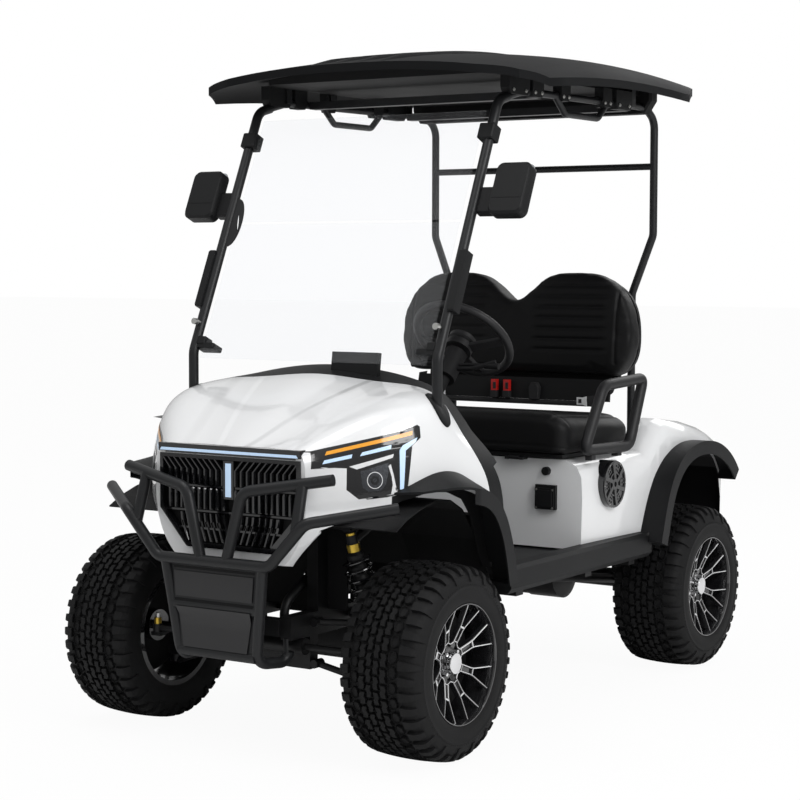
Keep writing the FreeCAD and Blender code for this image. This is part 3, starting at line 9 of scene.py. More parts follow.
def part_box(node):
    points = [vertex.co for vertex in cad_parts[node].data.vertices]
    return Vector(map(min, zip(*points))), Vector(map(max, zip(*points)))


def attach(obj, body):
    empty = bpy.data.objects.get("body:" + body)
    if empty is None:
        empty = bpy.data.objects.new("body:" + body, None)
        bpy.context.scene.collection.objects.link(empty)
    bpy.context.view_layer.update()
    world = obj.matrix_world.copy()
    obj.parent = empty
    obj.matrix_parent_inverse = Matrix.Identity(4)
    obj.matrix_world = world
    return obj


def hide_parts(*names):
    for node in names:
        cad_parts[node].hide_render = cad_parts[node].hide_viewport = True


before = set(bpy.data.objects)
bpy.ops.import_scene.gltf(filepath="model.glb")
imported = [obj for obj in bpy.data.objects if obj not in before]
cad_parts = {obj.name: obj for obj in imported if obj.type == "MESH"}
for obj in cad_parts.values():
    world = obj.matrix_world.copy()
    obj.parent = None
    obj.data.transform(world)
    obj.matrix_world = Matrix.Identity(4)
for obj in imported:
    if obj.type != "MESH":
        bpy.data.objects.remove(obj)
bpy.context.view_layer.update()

# The photograph's viewpoint: ahead of the driver's front corner, a little above
# the steering wheel, with a long lens that keeps the uprights straight.
def placed(name, data):
    """A new object that stands in the scene."""
    item = bpy.data.objects.new(name, data)
    bpy.context.scene.collection.objects.link(item)
    return item


camera = placed("photo_view", bpy.data.cameras.new("photo_view"))
camera.location = (3.6206, -5.7176, 1.4488)
azimuth, elevation, roll = math.radians(33.22), math.radians(3.88), math.radians(0.124)
looking = Vector((-math.sin(azimuth) * math.cos(elevation),
                  math.cos(azimuth) * math.cos(elevation), -math.sin(elevation)))
camera.rotation_mode = "QUATERNION"
camera.rotation_quaternion = looking.to_track_quat("-Z", "Y") @ Quaternion((0, 0, 1), roll)
camera.data.lens = 89.3
camera.data.clip_end = 200
bpy.context.scene.camera = camera
bpy.context.scene.view_settings.view_transform = "Standard"

# Studio: a pale sweep of floor, a soft white room that is brighter overhead,
# and three large soft lamps. The camera sees the room as plain white.
LAMPS_AIM = Vector((0, 0, 0.9))


def wired(tree, kind, inputs, **settings):
    """A shader node with its settings; each input takes another node's socket or a plain value."""
    node = tree.nodes.new("ShaderNode" + kind)
    for key, value in settings.items():
        setattr(node, key, value)
    for socket, value in inputs.items():
        if isinstance(value, bpy.types.NodeSocket):
            tree.links.new(value, node.inputs[socket])
        else:
            node.inputs[socket].default_value = value
    return node


def maths(tree, operation, *values):
    """The result of a maths node fed by sockets or plain numbers."""
    return wired(tree, "Math", dict(enumerate(values)), operation=operation).outputs[0]


world = bpy.data.worlds.new("studio")
bpy.context.scene.world = world
world.use_nodes = True
tree = world.node_tree
tree.nodes.clear()
split = wired(tree, "SeparateXYZ", {0: wired(tree, "TexCoord", {}).outputs["Generated"]})
height = wired(tree, "MapRange", {"Value": split.outputs["Z"], "From Min": -0.2, "From Max": 0.9,
                                  "To Min": 0.26, "To Max": 0.76})
room = wired(tree, "Background", {"Color": (1, 1, 1, 1), "Strength": height.outputs[0]})
seen = wired(tree, "Background", {"Color": (1, 1, 1, 1)})
rays = wired(tree, "LightPath", {})
clear = maths(tree, "MAXIMUM", rays.outputs["Is Camera Ray"], rays.outputs["Is Transmission Ray"])
choose = wired(tree, "MixShader", {0: clear, 1: room.outputs[0], 2: seen.outputs[0]})
wired(tree, "OutputWorld", {"Surface": choose.outputs[0]})
for name, at, size, power in (("key", (4.6, -1.4, 3.6), 2.6, 140), ("top", (-0.5, -1.6, 5.0), 2.4, 60),
                              ("back", (0.5, 5.0, 4.0), 3.0, 60)):
    lamp = bpy.data.lights.new(name, "AREA")
    lamp.size, lamp.energy = size, power
    holder = placed(name, lamp)
    holder.location = at
    holder.rotation_mode = "QUATERNION"
    holder.rotation_quaternion = (LAMPS_AIM - Vector(at)).to_track_quat("-Z", "Y")
sweep_mesh = bpy.data.meshes.new("studio_floor")
reach, under = 60, -0.001
sweep_mesh.from_pydata([(-reach, -reach, under), (reach, -reach, under), (reach, reach, under),
                        (-reach, reach, under)], [], [(0, 1, 2, 3)])
floor = placed("studio_floor", sweep_mesh)
pale = bpy.data.materials.new("pale_floor")
pale.use_nodes = True
tree = pale.node_tree
shader = tree.nodes["Principled BSDF"]
shader.inputs["Base Color"].default_value = (0.86, 0.86, 0.86, 1)
shader.inputs["Roughness"].default_value = 0.9
share = maths(tree, "MULTIPLY", wired(tree, "LightPath", {}).outputs["Is Camera Ray"], 0.95)
mix = wired(tree, "MixShader", {0: share, 1: shader.outputs[0],
                                2: wired(tree, "Emission", {}).outputs[0]})
tree.links.new(mix.outputs[0], tree.nodes["Material Output"].inputs["Surface"])
sweep_mesh.materials.append(pale)


# Body: the hood with its wings, and the seat box with the rear fenders, are
# gloss white mouldings with the faint orange peel of a polished coat.
def effect_group(name, inputs, outputs):
    """A shader node group with named sockets, and its own input and output nodes."""
    group = bpy.data.node_groups.new(name, "ShaderNodeTree")
    for label, kind, value in inputs:
        socket = group.interface.new_socket(label, in_out="INPUT", socket_type=kind)
        socket.default_value = value
    for label, kind in outputs:
        group.interface.new_socket(label, in_out="OUTPUT", socket_type=kind)
    return group, group.nodes.new("NodeGroupInput"), group.nodes.new("NodeGroupOutput")


grain_group, taken, given = effect_group(
    "surface_grain",
    [("Colour", "NodeSocketColor", (0.5, 0.5, 0.5, 1)), ("Mottle", "NodeSocketFloat", 0.1),
     ("Roughness", "NodeSocketFloat", 0.5), ("Spread", "NodeSocketFloat", 0.05),
     ("Scale", "NodeSocketFloat", 200.0), ("Depth", "NodeSocketFloat", 0.1)],
    [("Colour", "NodeSocketColor"), ("Roughness", "NodeSocketFloat"), ("Normal", "NodeSocketVector")])
place = wired(grain_group, "TexCoord", {}).outputs["Object"]
broad = wired(grain_group, "TexNoise", {"Vector": place, "Scale": 3.0, "Detail": 3.0})
fine = wired(grain_group, "TexNoise", {"Vector": place, "Scale": taken.outputs["Scale"]})
shade = maths(grain_group, "SUBTRACT", broad.outputs["Fac"], 0.5)
lift = maths(grain_group, "MULTIPLY_ADD", shade, taken.outputs["Mottle"], 1.0)
tint = wired(grain_group, "VectorMath", {0: taken.outputs["Colour"], "Scale": lift}, operation="SCALE")
rough = maths(grain_group, "MULTIPLY_ADD", shade, taken.outputs["Spread"], taken.outputs["Roughness"])
bump = wired(grain_group, "Bump", {"Height": fine.outputs["Fac"], "Strength": taken.outputs["Depth"],
                                   "Distance": 0.001})
for label, socket in (("Colour", tint.outputs[0]), ("Roughness", rough), ("Normal", bump.outputs[0])):
    grain_group.links.new(socket, given.inputs[label])


def wired_group(tree, group, **inputs):
    """A node that holds a shader group, with its inputs set."""
    node = wired(tree, "Group", {}, node_tree=group)
    for label, value in inputs.items():
        node.inputs[label].default_value = value
    return node


def finish(name, colour, roughness, mottle=0.1, spread=0.08, scale=400.0, depth=0.1, **plain):
    """A material whose colour, gloss and relief come from the grain, and the rest from plain sockets."""
    material = bpy.data.materials.new(name)
    material.use_nodes = True
    tree = material.node_tree
    grain = wired_group(tree, grain_group, Colour=(*colour, 1), Mottle=mottle, Roughness=roughness,
                        Spread=spread, Scale=scale, Depth=depth)
    coat = tree.nodes["Principled BSDF"]
    for label, socket in (("Colour", "Base Color"), ("Roughness", "Roughness"), ("Normal", "Normal")):
        tree.links.new(grain.outputs[label], coat.inputs[socket])
    for label, value in plain.items():
        coat.inputs[label.replace("_", " ").title().replace("Ior", "IOR")].default_value = value
    return material


def dress(material, *names, corner=32):
    """Give CAD pieces their finish, smooth over curves and crisp at corners."""
    for name in names:
        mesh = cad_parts[name].data
        mesh.materials.clear()
        mesh.materials.append(material)
        mesh.shade_smooth()
        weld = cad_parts[name].modifiers.new("joined", "WELD")
        weld.merge_threshold = 0.0002
        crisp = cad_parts[name].modifiers.new("corners", "EDGE_SPLIT")
        crisp.split_angle = math.radians(corner)
        crisp.use_edge_sharp = False


crease_group, taken, given = effect_group(
    "hood_creases", [("Half", "NodeSocketFloat", 0.1), ("Flare", "NodeSocketFloat", 0.3),
                     ("Width", "NodeSocketFloat", 0.03)], [("Height", "NodeSocketFloat")])
split = wired(crease_group, "SeparateXYZ", {0: wired(crease_group, "TexCoord", {}).outputs["Object"]})
past_nose = maths(crease_group, "ADD", split.outputs["Y"], 1.1)
line = maths(crease_group, "MULTIPLY_ADD", past_nose, taken.outputs["Flare"], taken.outputs["Half"])
beyond = maths(crease_group, "SUBTRACT", maths(crease_group, "ABSOLUTE", split.outputs["X"]), line)
rise = maths(crease_group, "DIVIDE", beyond, taken.outputs["Width"])
share = wired(crease_group, "MapRange", {"Value": rise}, interpolation_type="SMOOTHSTEP")
crease_group.links.new(share.outputs[0], given.inputs["Height"])

white_coat = finish("white_gloss_coat", (0.775, 0.782, 0.79), 0.20, mottle=0.02, spread=0.05,
                    scale=60.0, depth=0.04, coat_weight=1.0, coat_roughness=0.03)
hood_coat = white_coat.copy()
hood_coat.name = "white_gloss_hood"
tree = hood_coat.node_tree
creases = [wired_group(tree, crease_group, Half=half, Flare=flare, Width=width).outputs["Height"]
           for half, flare, width in ((0.035, 0.36, 0.030), (0.20, 0.30, -0.055))]
grain = next(node for node in tree.nodes if node.type == "GROUP" and node.node_tree == grain_group)
relief = wired(tree, "Bump", {"Height": maths(tree, "ADD", *creases), "Normal": grain.outputs["Normal"],
                              "Distance": 0.005, "Strength": 1.0})
tree.links.new(relief.outputs[0], tree.nodes["Principled BSDF"].inputs["Normal"])

# Painted shade: a second group finds the sides of each moulding that face in, below a given height, and
# these take a near-black finish as painted shade; on the hood it also finds a crescent of each wing round
# the front arch, which takes the same black to match the flare.
shade_and_lip_group, taken, given = effect_group(
    "unpainted_side", [("Middle", "NodeSocketVector", (0, 0, 0)), ("Arch", "NodeSocketVector", (0, 0, 0)),
                       ("Reach", "NodeSocketFloat", 0.5), ("From", "NodeSocketFloat", 0.0),
                       ("Top", "NodeSocketFloat", 2.0)],
    [("Share", "NodeSocketFloat")])
place = wired(shade_and_lip_group, "TexCoord", {}).outputs["Object"]
shape = wired(shade_and_lip_group, "NewGeometry", {}).outputs["True Normal"]
reach = wired(shade_and_lip_group, "VectorMath", {0: place, 1: taken.outputs["Middle"]}, operation="SUBTRACT")
facing = wired(shade_and_lip_group, "VectorMath", {0: reach.outputs[0], 1: shape}, operation="DOT_PRODUCT")
in_plan = wired(shade_and_lip_group, "VectorMath", {0: place, 1: (0, 1, 1)}, operation="MULTIPLY")
apart = wired(shade_and_lip_group, "VectorMath", {0: in_plan.outputs[0], 1: taken.outputs["Arch"]},
              operation="DISTANCE")
split = wired(shade_and_lip_group, "SeparateXYZ", {0: place})
beside = maths(shade_and_lip_group, "GREATER_THAN", maths(shade_and_lip_group, "ABSOLUTE", split.outputs["X"]), 0.43)
behind = maths(shade_and_lip_group, "GREATER_THAN", split.outputs["Y"], taken.outputs["From"])
close = maths(shade_and_lip_group, "LESS_THAN", apart.outputs["Value"], taken.outputs["Reach"])
lip = maths(shade_and_lip_group, "MULTIPLY", close, maths(shade_and_lip_group, "MULTIPLY", beside, behind))
# Faces turned toward the middle and below Top take the painted shade.
turned = maths(shade_and_lip_group, "LESS_THAN", facing.outputs["Value"], 0.0)
below = maths(shade_and_lip_group, "LESS_THAN", split.outputs["Z"], taken.outputs["Top"])
inward = maths(shade_and_lip_group, "MULTIPLY", turned, below)
shade_and_lip_group.links.new(maths(shade_and_lip_group, "MAXIMUM", inward, lip), given.inputs["Share"])
fender_coat = white_coat.copy()
fender_coat.name = "white_gloss_fenders"
# Where the group's share is 1, each white coat shows a near-black finish: painted shade on the inward
# faces, and on the hood the black crescent round each front arch.
for coat, middle, arch, reach, start, top in (
        (hood_coat, (0, -0.76, 0.80), (0, -0.80, 0.36), 0.436, -0.925, 2.0),
        (fender_coat, (0, 0.70, 0.62), (0, 0.80, 0.36), 0.0, 0.45, 0.782)):
    tree = coat.node_tree
    inside = wired_group(tree, shade_and_lip_group, Middle=middle, Arch=arch, Reach=reach, From=start, Top=top)
    shade_and_lip_black = wired(tree, "BsdfPrincipled", {"Base Color": (0.007, 0.007, 0.0075, 1), "Roughness": 0.55,
                                            "Specular IOR Level": 0.15})
    pick = wired(tree, "MixShader", {0: inside.outputs["Share"], 2: shade_and_lip_black.outputs[0],
                                     1: tree.nodes["Principled BSDF"].outputs[0]})
    tree.links.new(pick.outputs[0], tree.nodes["Material Output"].inputs["Surface"])
dress(hood_coat, "front_cowl", corner=40)
dress(fender_coat, "rear_body", corner=40)

# Moulded trim: flares, sills, liners, floor, dash and cowl band are black
# plastic with a fine stipple, left as it comes from the mould.
black_mould = finish("black_moulded_plastic", (0.0085, 0.0088, 0.0094), 0.50, mottle=0.4, spread=0.2,
                     scale=900.0, depth=0.2, specular_ior_level=0.18)
dress(black_mould, "front_flares", "rear_flares", "sills", "dashboard", "backrest_shell", "seat_pan",
      "pedals", "charge_port", "battery_pack", "floor_pan")
roof_black = finish("black_roof_shell", (0.0075, 0.0078, 0.0084), 0.62, mottle=0.3, spread=0.1,
                    scale=500.0, depth=0.15, specular_ior_level=0.07)
dress(roof_black, "roof")
deep_black = finish("black_inner_liner", (0.004, 0.004, 0.0045), 0.62, mottle=0.4, spread=0.2,
                    scale=700.0, depth=0.2, specular_ior_level=0.2)
dress(deep_black, "wheel_liners", "bulkhead", "steering_column")

# Tube work: frame, guard, canopy struts and suspension are steel under a
# satin black powder coat, which lies in a slight ripple.
powder = finish("black_powder_coat", (0.0125, 0.013, 0.014), 0.38, mottle=0.3, spread=0.12,
                scale=300.0, depth=0.15, specular_ior_level=0.28)
dress(powder, "brush_guard", "front_struts", "rear_struts", "roof_rails", "rear_bumper", "hinge_ears")
chassis_black = finish("black_chassis_wax", (0.005, 0.005, 0.0055), 0.45, mottle=0.5, spread=0.25,
                       scale=150.0, depth=0.3, specular_ior_level=0.3)
dress(chassis_black, "ladder_frame", "drop_frame", "control_arms", "knuckle_left", "knuckle_right",
      "rear_axle", "drive_motor", "rear_arms", "steering_gear", "shock_absorbers", "steering_rack")

# Front lamps and controls: gloss black lamp bodies, deep red tail lenses, and
# a hand wheel dipped in soft grip rubber.
gloss_black = finish("gloss_black_plastic", (0.006, 0.006, 0.007), 0.10, mottle=0.2, spread=0.05,
                     scale=100.0, depth=0.02, coat_weight=0.6, coat_roughness=0.05)
dress(gloss_black, "front_lamps", "speakers")
red_lens = finish("red_lens", (0.32, 0.008, 0.01), 0.12, scale=150.0, depth=0.1, coat_weight=1.0)
dress(red_lens, "tail_lamps")
rubber_grip = finish("grip_rubber", (0.010, 0.010, 0.011), 0.5, mottle=0.3, scale=700.0, depth=0.2,
                     specular_ior_level=0.35)
dress(rubber_grip, "steering_wheel")


# Lamp graphics: amber and ice-blue light guides, a white blade and a bright reflector pocket are laid on
# the lamp's face, a little proud of it, so each follows its surface.
ACROSS, BACK, UP = Vector((1, 0, 0)), Vector((0, 1, 0)), Vector((0, 0, 1))
LAMP_TURN = math.radians(41.5)
along_lamp = Vector((math.cos(LAMP_TURN), math.sin(LAMP_TURN), 0))
into_lamp = Vector((-math.sin(LAMP_TURN), math.cos(LAMP_TURN), 0))
nose_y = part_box("front_cowl")[0].y
lamp_corner = Vector((0.268, nose_y + 0.036, 0))


def new_piece(name, bm, body, materials, smooth=35):
    """Turn a bmesh into a piece that rides on a body."""
    mesh = bpy.data.meshes.new(name)
    bmesh.ops.recalc_face_normals(bm, faces=bm.faces)
    bm.to_mesh(mesh)
    bm.free()
    for material in materials:
        mesh.materials.append(material)
    mesh.shade_smooth()
    mesh.set_sharp_from_angle(angle=math.radians(smooth))
    piece = placed(name, mesh)
    if body:
        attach(piece, body)
    return piece


def surface_of(*names):
    """A search tree over the skins of some CAD pieces."""
    corners, faces = [], []
    for name in names:
        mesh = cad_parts[name].data
        faces += [[len(corners) + v for v in p.vertices] for p in mesh.polygons]
        corners += [v.co.copy() for v in mesh.vertices]
    return BVHTree.FromPolygons(corners, faces)


front_skin = surface_of("front_lamps", "front_cowl")


def lay_on(bm, skin, outline, lift, slot, origin, across, inward, cuts=5):
    """Lay a flat outline on a skin along one direction, lifted a little off it."""
    flat = [Vector((u, w, 0)) for u, w in outline]
    pattern = bmesh.new()
    corners = [pattern.verts.new(point) for point in flat]
    for triangle in tessellate_polygon([flat]):
        pattern.faces.new([corners[k] for k in triangle])
    bmesh.ops.subdivide_edges(pattern, edges=pattern.edges, cuts=cuts, use_grid_fill=True)
    laid = {}
    for vert in pattern.verts:
        at = origin + across * vert.co.x + UP * vert.co.y
        hit = skin.ray_cast(at - inward * 0.3, inward)[0]
        laid[vert] = bm.verts.new((hit or at) - inward * lift)
    for face in pattern.faces:
        bm.faces.new([laid[vert] for vert in face.verts]).material_index = slot
    pattern.free()


def mirror_across(bm):
    """Add the same geometry on the other side of the cart."""
    copies = bmesh.ops.duplicate(bm, geom=list(bm.verts) + list(bm.edges) + list(bm.faces))["geom"]
    for vert in (v for v in copies if isinstance(v, bmesh.types.BMVert)):
        vert.co.x = -vert.co.x


def glowing(name, colour, strength):
    """A light guide: coloured plastic that is lit from inside."""
    material = finish(name, colour, 0.2, mottle=0.05, scale=300.0, depth=0.05, coat_weight=0.5)
    shader = material.node_tree.nodes["Principled BSDF"]
    shader.inputs["Emission Color"].default_value = (*colour, 1)
    shader.inputs["Emission Strength"].default_value = strength
    return material


amber = glowing("amber_light_guide", (0.72, 0.30, 0.015), 0.22)
ice = glowing("ice_light_guide", (0.50, 0.66, 0.86), 0.30)
chrome_mesh = finish("lamp_reflector", (0.07, 0.073, 0.08), 0.3, mottle=0.8, spread=0.3, scale=260.0,
                     depth=1.0, metallic=1.0)
bm = bmesh.new()
for outline, lift, slot in (
        ([(0.002, 0.891), (0.16, 0.928), (0.322, 0.9815), (0.330, 0.976), (0.331, 0.944), (0.304, 0.922),
          (0.300, 0.895), (0.286, 0.790), (0.225, 0.776), (0.165, 0.771), (0.132, 0.790), (0.131, 0.855),
          (0.118, 0.866), (0.0, 0.862)], 0.0006, 3),
        ([(0.042, 0.900), (0.305, 0.953), (0.306, 0.965), (0.047, 0.911)], 0.0014, 0),
        ([(0.034, 0.875), (0.120, 0.891), (0.123, 0.902), (0.040, 0.886)], 0.0014, 1),
        ([(0.145, 0.896), (0.238, 0.915), (0.240, 0.927), (0.152, 0.907)], 0.0014, 1),
        ([(0.263, 0.797), (0.275, 0.798), (0.283, 0.909), (0.316, 0.934), (0.321, 0.946), (0.274, 0.924),
          (0.264, 0.911)], 0.0014, 1),
        ([(0.112, 0.8668), (0.246, 0.9005), (0.243, 0.890), (0.135, 0.8585)], 0.0022, 4),
        ([(0.144, 0.852), (0.228, 0.875), (0.228, 0.846), (0.220, 0.812), (0.206, 0.796), (0.170, 0.793),
          (0.152, 0.806)], 0.0014, 2),
        ([(0.236, 0.785), (0.257, 0.786), (0.250, 0.812), (0.243, 0.846), (0.236, 0.872), (0.229, 0.866),
          (0.238, 0.836), (0.241, 0.812)], 0.0018, 4)):
    lay_on(bm, front_skin, outline, lift, slot, lamp_corner, along_lamp, into_lamp,
           cuts=11 if slot == 3 else 6)
for inner, outer, slot in ((0.0215, 0.0235, 4), (0.006, 0.0125, 3)):
    for k in range(24):
        a, b = 2 * math.pi * k / 24, 2 * math.pi * (k + 1) / 24
        lay_on(bm, front_skin, [(0.188 + r * math.cos(t), 0.826 + 1.05 * r * math.sin(t))
                                for t, r in ((a, inner), (b, inner), (b, outer), (a, outer))],
               0.002, slot, lamp_corner, along_lamp, into_lamp, cuts=1)
mirror_across(bm)
before_nose = Vector((0, nose_y - 0.1, 0))
lay_on(bm, front_skin, [(-0.292, 0.886), (0.292, 0.886), (0.292, 0.9125), (-0.292, 0.9125)], 0.0005, 3,
       before_nose, ACROSS, BACK, cuts=11)
lay_on(bm, front_skin, [(-0.258, 0.893), (0.258, 0.893), (0.252, 0.9015), (-0.252, 0.9015)], 0.001, 1,
       before_nose, ACROSS, BACK)
new_piece("lamp_light_guides", bm, "chassis", [amber, ice, chrome_mesh, gloss_black, white_coat])


# Grille: one gloss black moulding with three tiers of kinked upright slats between cross ribs, and a
# plain pale strip up its middle, which takes the glowing ice light-guide material, so its glow is painted
# light.
def join_rows(bm, rows, slot=0, ring=True, caps=True):
    """Faces between rows of points; a ring closes on itself, and caps shut both ends."""
    count = len(rows[0])
    for a, b in zip(rows, rows[1:]):
        for k in range(count if ring else count - 1):
            n = (k + 1) % count
            bm.faces.new((a[k], a[n], b[n], b[k])).material_index = slot
    if caps:
        for row in (rows[0], rows[-1]):
            bm.faces.new(row).material_index = slot


def slat(bm, route, half, deep):
    """A slat that follows points across its face, proud in the middle and sloped at both sides."""
    join_rows(bm, [[bm.verts.new((x + dx, y, z)) for dx, y in (
        (-half - 0.002, grille_back), (-half, grille_front + deep), (-half * 0.45, grille_front),
        (half * 0.45, grille_front), (half, grille_front + deep), (half + 0.002, grille_back))]
        for x, z in route], ring=False)


def bar_mesh(bm, points, half_wide, half_deep, slot=0, side=BACK):
    """A flat bar along straight runs, with its broad faces square to one direction."""
    rows = []
    points = [Vector(p) for p in points]
    for k, point in enumerate(points):
        run = (points[min(k + 1, len(points) - 1)] - points[max(k - 1, 0)]).normalized()
        across = run.cross(side).normalized()
        rows.append([bm.verts.new(point + across * half_wide * a + side * half_deep * b)
                     for a, b in ((-1, -1), (1, -1), (1, 1), (-1, 1))])
    join_rows(bm, rows, slot)


low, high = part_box("grille")
grille_front, grille_back = low.y + 0.0015, low.y + 0.024
OPEN_HALF, FLOOR_HALF, OPEN_TOP, OPEN_BEND, OPEN_FLOOR = 0.249, 0.154, 0.873, 0.723, 0.622
outline = [(-0.262, 0.884), (0.262, 0.884), (0.262, 0.718), (0.160, 0.606), (-0.160, 0.606),
           (-0.262, 0.718)]
opening = [(-OPEN_HALF, OPEN_TOP), (OPEN_HALF, OPEN_TOP), (OPEN_HALF, OPEN_BEND),
           (FLOOR_HALF, OPEN_FLOOR), (-FLOOR_HALF, OPEN_FLOOR), (-OPEN_HALF, OPEN_BEND)]
bm = bmesh.new()
rows = [[bm.verts.new((x, y, z)) for x, z in line] for line, y in (
    (outline, high.y - 0.001), (outline, low.y + 0.002), (opening, low.y + 0.0005),
    (opening, grille_back))]
join_rows(bm, rows, caps=False)
bm.faces.new(rows[-1]).material_index = 2


def grille_half(z):
    """Half the width of the grille's opening at a height."""
    above = min(1.0, (z - OPEN_FLOOR) / (OPEN_BEND - OPEN_FLOOR))
    return FLOOR_HALF + above * (OPEN_HALF - FLOOR_HALF)


SLAT_PITCH = 0.0222
for side in (-1, 1):
    for number in range(11):
        x = 0.024 + SLAT_PITCH * number
        top = [(x + min(0.028, OPEN_HALF - x), 0.8725), (x, 0.842), (x, 0.796)]
        middle = [(x + 0.003, 0.786), (x, 0.778), (x, 0.722)]
        lower = [(x, 0.710), (x - 0.002, 0.690), (x - 0.024, 0.6255)]
        for route, where in ((top, 0.80), (middle, 0.735), (lower, 0.665)):
            if x < grille_half(where) - 0.005:
                slat(bm, [(side * px, pz) for px, pz in route], 0.0062, 0.006)
    for number in range(8):
        x = 0.024 + SLAT_PITCH * number
        slat(bm, [(side * (x - 0.008), 0.668), (side * (x - 0.003), 0.684)], 0.0075, 0.004)
for z, half in ((0.791, OPEN_HALF), (0.716, 0.240), (0.664, 0.190)):
    bar_mesh(bm, [(-half, grille_front + 0.012, z), (half, grille_front + 0.012, z)], 0.003, 0.008)
bar_mesh(bm, [(0, grille_front + 0.008, 0.871), (0, grille_front + 0.008, 0.757)], 0.019, 0.008)
# The middle strip uses the glowing ice material: a pale strip whose glow is painted light.
bar_mesh(bm, [(0, grille_front + 0.004, 0.864), (0, grille_front + 0.004, 0.764)], 0.0105, 0.005, slot=1)
grille_piece = new_piece("grille_slats", bm, "chassis", [gloss_black, ice, deep_black], smooth=20)
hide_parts("grille")

# Windshield: two clear acrylic panes that hardly tint what is behind them.
clear_pane = bpy.data.materials.new("clear_acrylic")
clear_pane.use_nodes = True
tree = clear_pane.node_tree
shader = tree.nodes["Principled BSDF"]
for label, value in (("Base Color", (0.93, 0.945, 0.96, 1)), ("Roughness", 0.02),
                     ("Specular IOR Level", 0.25)):
    shader.inputs[label].default_value = value
facing = wired(tree, "LayerWeight", {"Blend": 0.12})
fleck = wired(tree, "TexNoise", {"Scale": 2.0})
film = maths(tree, "MULTIPLY_ADD", fleck.outputs["Fac"], 0.03, 0.012)
open_air = wired(tree, "BsdfTransparent", {"Color": (0.985, 0.988, 0.994, 1)})
cover = maths(tree, "MULTIPLY_ADD", facing.outputs["Fresnel"], 0.35, film)
mix = wired(tree, "MixShader", {0: cover, 1: open_air.outputs[0], 2: shader.outputs[0]})
tree.links.new(mix.outputs[0], tree.nodes["Material Output"].inputs["Surface"])
dress(clear_pane, "windshield")

# Tyres: tall knobbly tread in staggered rows over a black carcass, with
# shoulder lugs that turn down onto the sidewalls.
TYRE_RADIUS, PITCHES = 0.292, 40
pitch = 2 * math.pi * TYRE_RADIUS / PITCHES


def crown(x):
    """The tread's outer radius at a distance from the tyre's middle."""
    return TYRE_RADIUS - 0.55 * x * x


def on_tyre(s, x, radius):
    """A point round the tyre, s along the tread from its lowest point."""
    turn = s / TYRE_RADIUS
    return Vector((x, radius * math.sin(turn), -radius * math.cos(turn)))


def tread_block(bm, start, outline, depth=0.011, dimple=0.0):
    """One tread block from its outline, wider at its foot, with an optional sunk sipe."""
    middle = [sum(p[k] for p in outline) / len(outline) for k in (0, 1)]
    foot, head = [], []
    for s, x in outline:
        head.append(bm.verts.new(on_tyre(start + s, x, crown(x))))
        wide_s = middle[0] + (s - middle[0]) * 1.07
        wide_x = middle[1] + (x - middle[1]) * 1.07
        foot.append(bm.verts.new(on_tyre(start + wide_s, wide_x, crown(x) - depth)))
    for k in range(len(outline)):
        n = (k + 1) % len(outline)
        bm.faces.new((foot[k], foot[n], head[n], head[k]))
    top = bm.faces.new(head)
    if dimple:
        bmesh.ops.inset_individual(bm, faces=[top], thickness=dimple)
        bmesh.ops.inset_individual(bm, faces=[top], thickness=0.0015)
        for vert in top.verts:
            vert.co = Vector((vert.co.x, vert.co.y * 0.982, vert.co.z * 0.982))


def shoulder_lug(bm, start, side, long):
    """One shoulder lug, swept from the tread over the edge and down the sidewall."""
    line = [(0.084, 0.2882), (0.098, 0.2866), (0.110, 0.2840), (0.1195, 0.2750), (0.1250, 0.2640)]
    if side > 0:
        line = [(0.084, 0.2882), (0.098, 0.2866), (0.112, 0.2835), (0.1225, 0.2760), (0.1295, 0.2650)]
    if long:
        line += [(0.1335, 0.2540), (0.1368, 0.2440)] if side > 0 else [(0.1278, 0.2530), (0.1285, 0.2440)]
    rows = []
    for k, (x, r) in enumerate(line):
        lean = 0.004 * k / len(line)
        half = 0.0135 - 0.0010 * k
        low_r, low_x = (r - 0.012, x) if x < 0.115 else (r - 0.004, x - 0.008)
        rows.append([bm.verts.new(on_tyre(start + s, side * px, pr)) for s, px, pr in (
            (lean - half - 0.0015, low_x, low_r), (lean - half, x, r), (lean + half, x, r),
            (lean + half + 0.0015, low_x, low_r))])
    join_rows(bm, rows, ring=False)


def revolved(bm, profile, segments, slot=0):
    """Turn a line of (x, radius) points about the wheel's axis."""
    rings = []
    for k in range(segments):
        turn = 2 * math.pi * k / segments
        rings.append([bm.verts.new((x, r * math.sin(turn), -r * math.cos(turn))) for x, r in profile])
    for k in range(segments):
        a, b = rings[k], rings[(k + 1) % segments]
        for j in range(len(profile) - 1):
            if profile[j][1] > 1e-6 or profile[j + 1][1] > 1e-6:
                bm.faces.new((a[j], b[j], b[j + 1], a[j + 1])).material_index = slot


crown_line = [(0.08, 0.2780), (0.04, 0.2800), (0.0, 0.2808)]
inner_wall = [(0.094, 0.1780), (0.1085, 0.1790), (0.1115, 0.184), (0.1175, 0.198), (0.1225, 0.216),
              (0.1240, 0.230), (0.1240, 0.244), (0.1215, 0.258), (0.1150, 0.2690), (0.104, 0.2755)]
outer_wall = [(0.112, 0.1780), (0.126, 0.1781), (0.1325, 0.1800), (0.1352, 0.187), (0.1365, 0.200),
              (0.1365, 0.216), (0.1358, 0.2262), (0.1367, 0.2285), (0.1340, 0.240), (0.1290, 0.2545),
              (0.1200, 0.2665), (0.106, 0.2745)]
bm = bmesh.new()
revolved(bm, [(-x, r) for x, r in inner_wall + crown_line]
         + [(x, r) for x, r in reversed(outer_wall + crown_line[:-1])], 144)
centre_block = [(0.000, 0.003), (0.014, 0.008), (0.022, 0.003), (0.036, 0.006), (0.037, 0.020),
                (0.022, 0.017), (0.014, 0.022), (0.001, 0.018)]
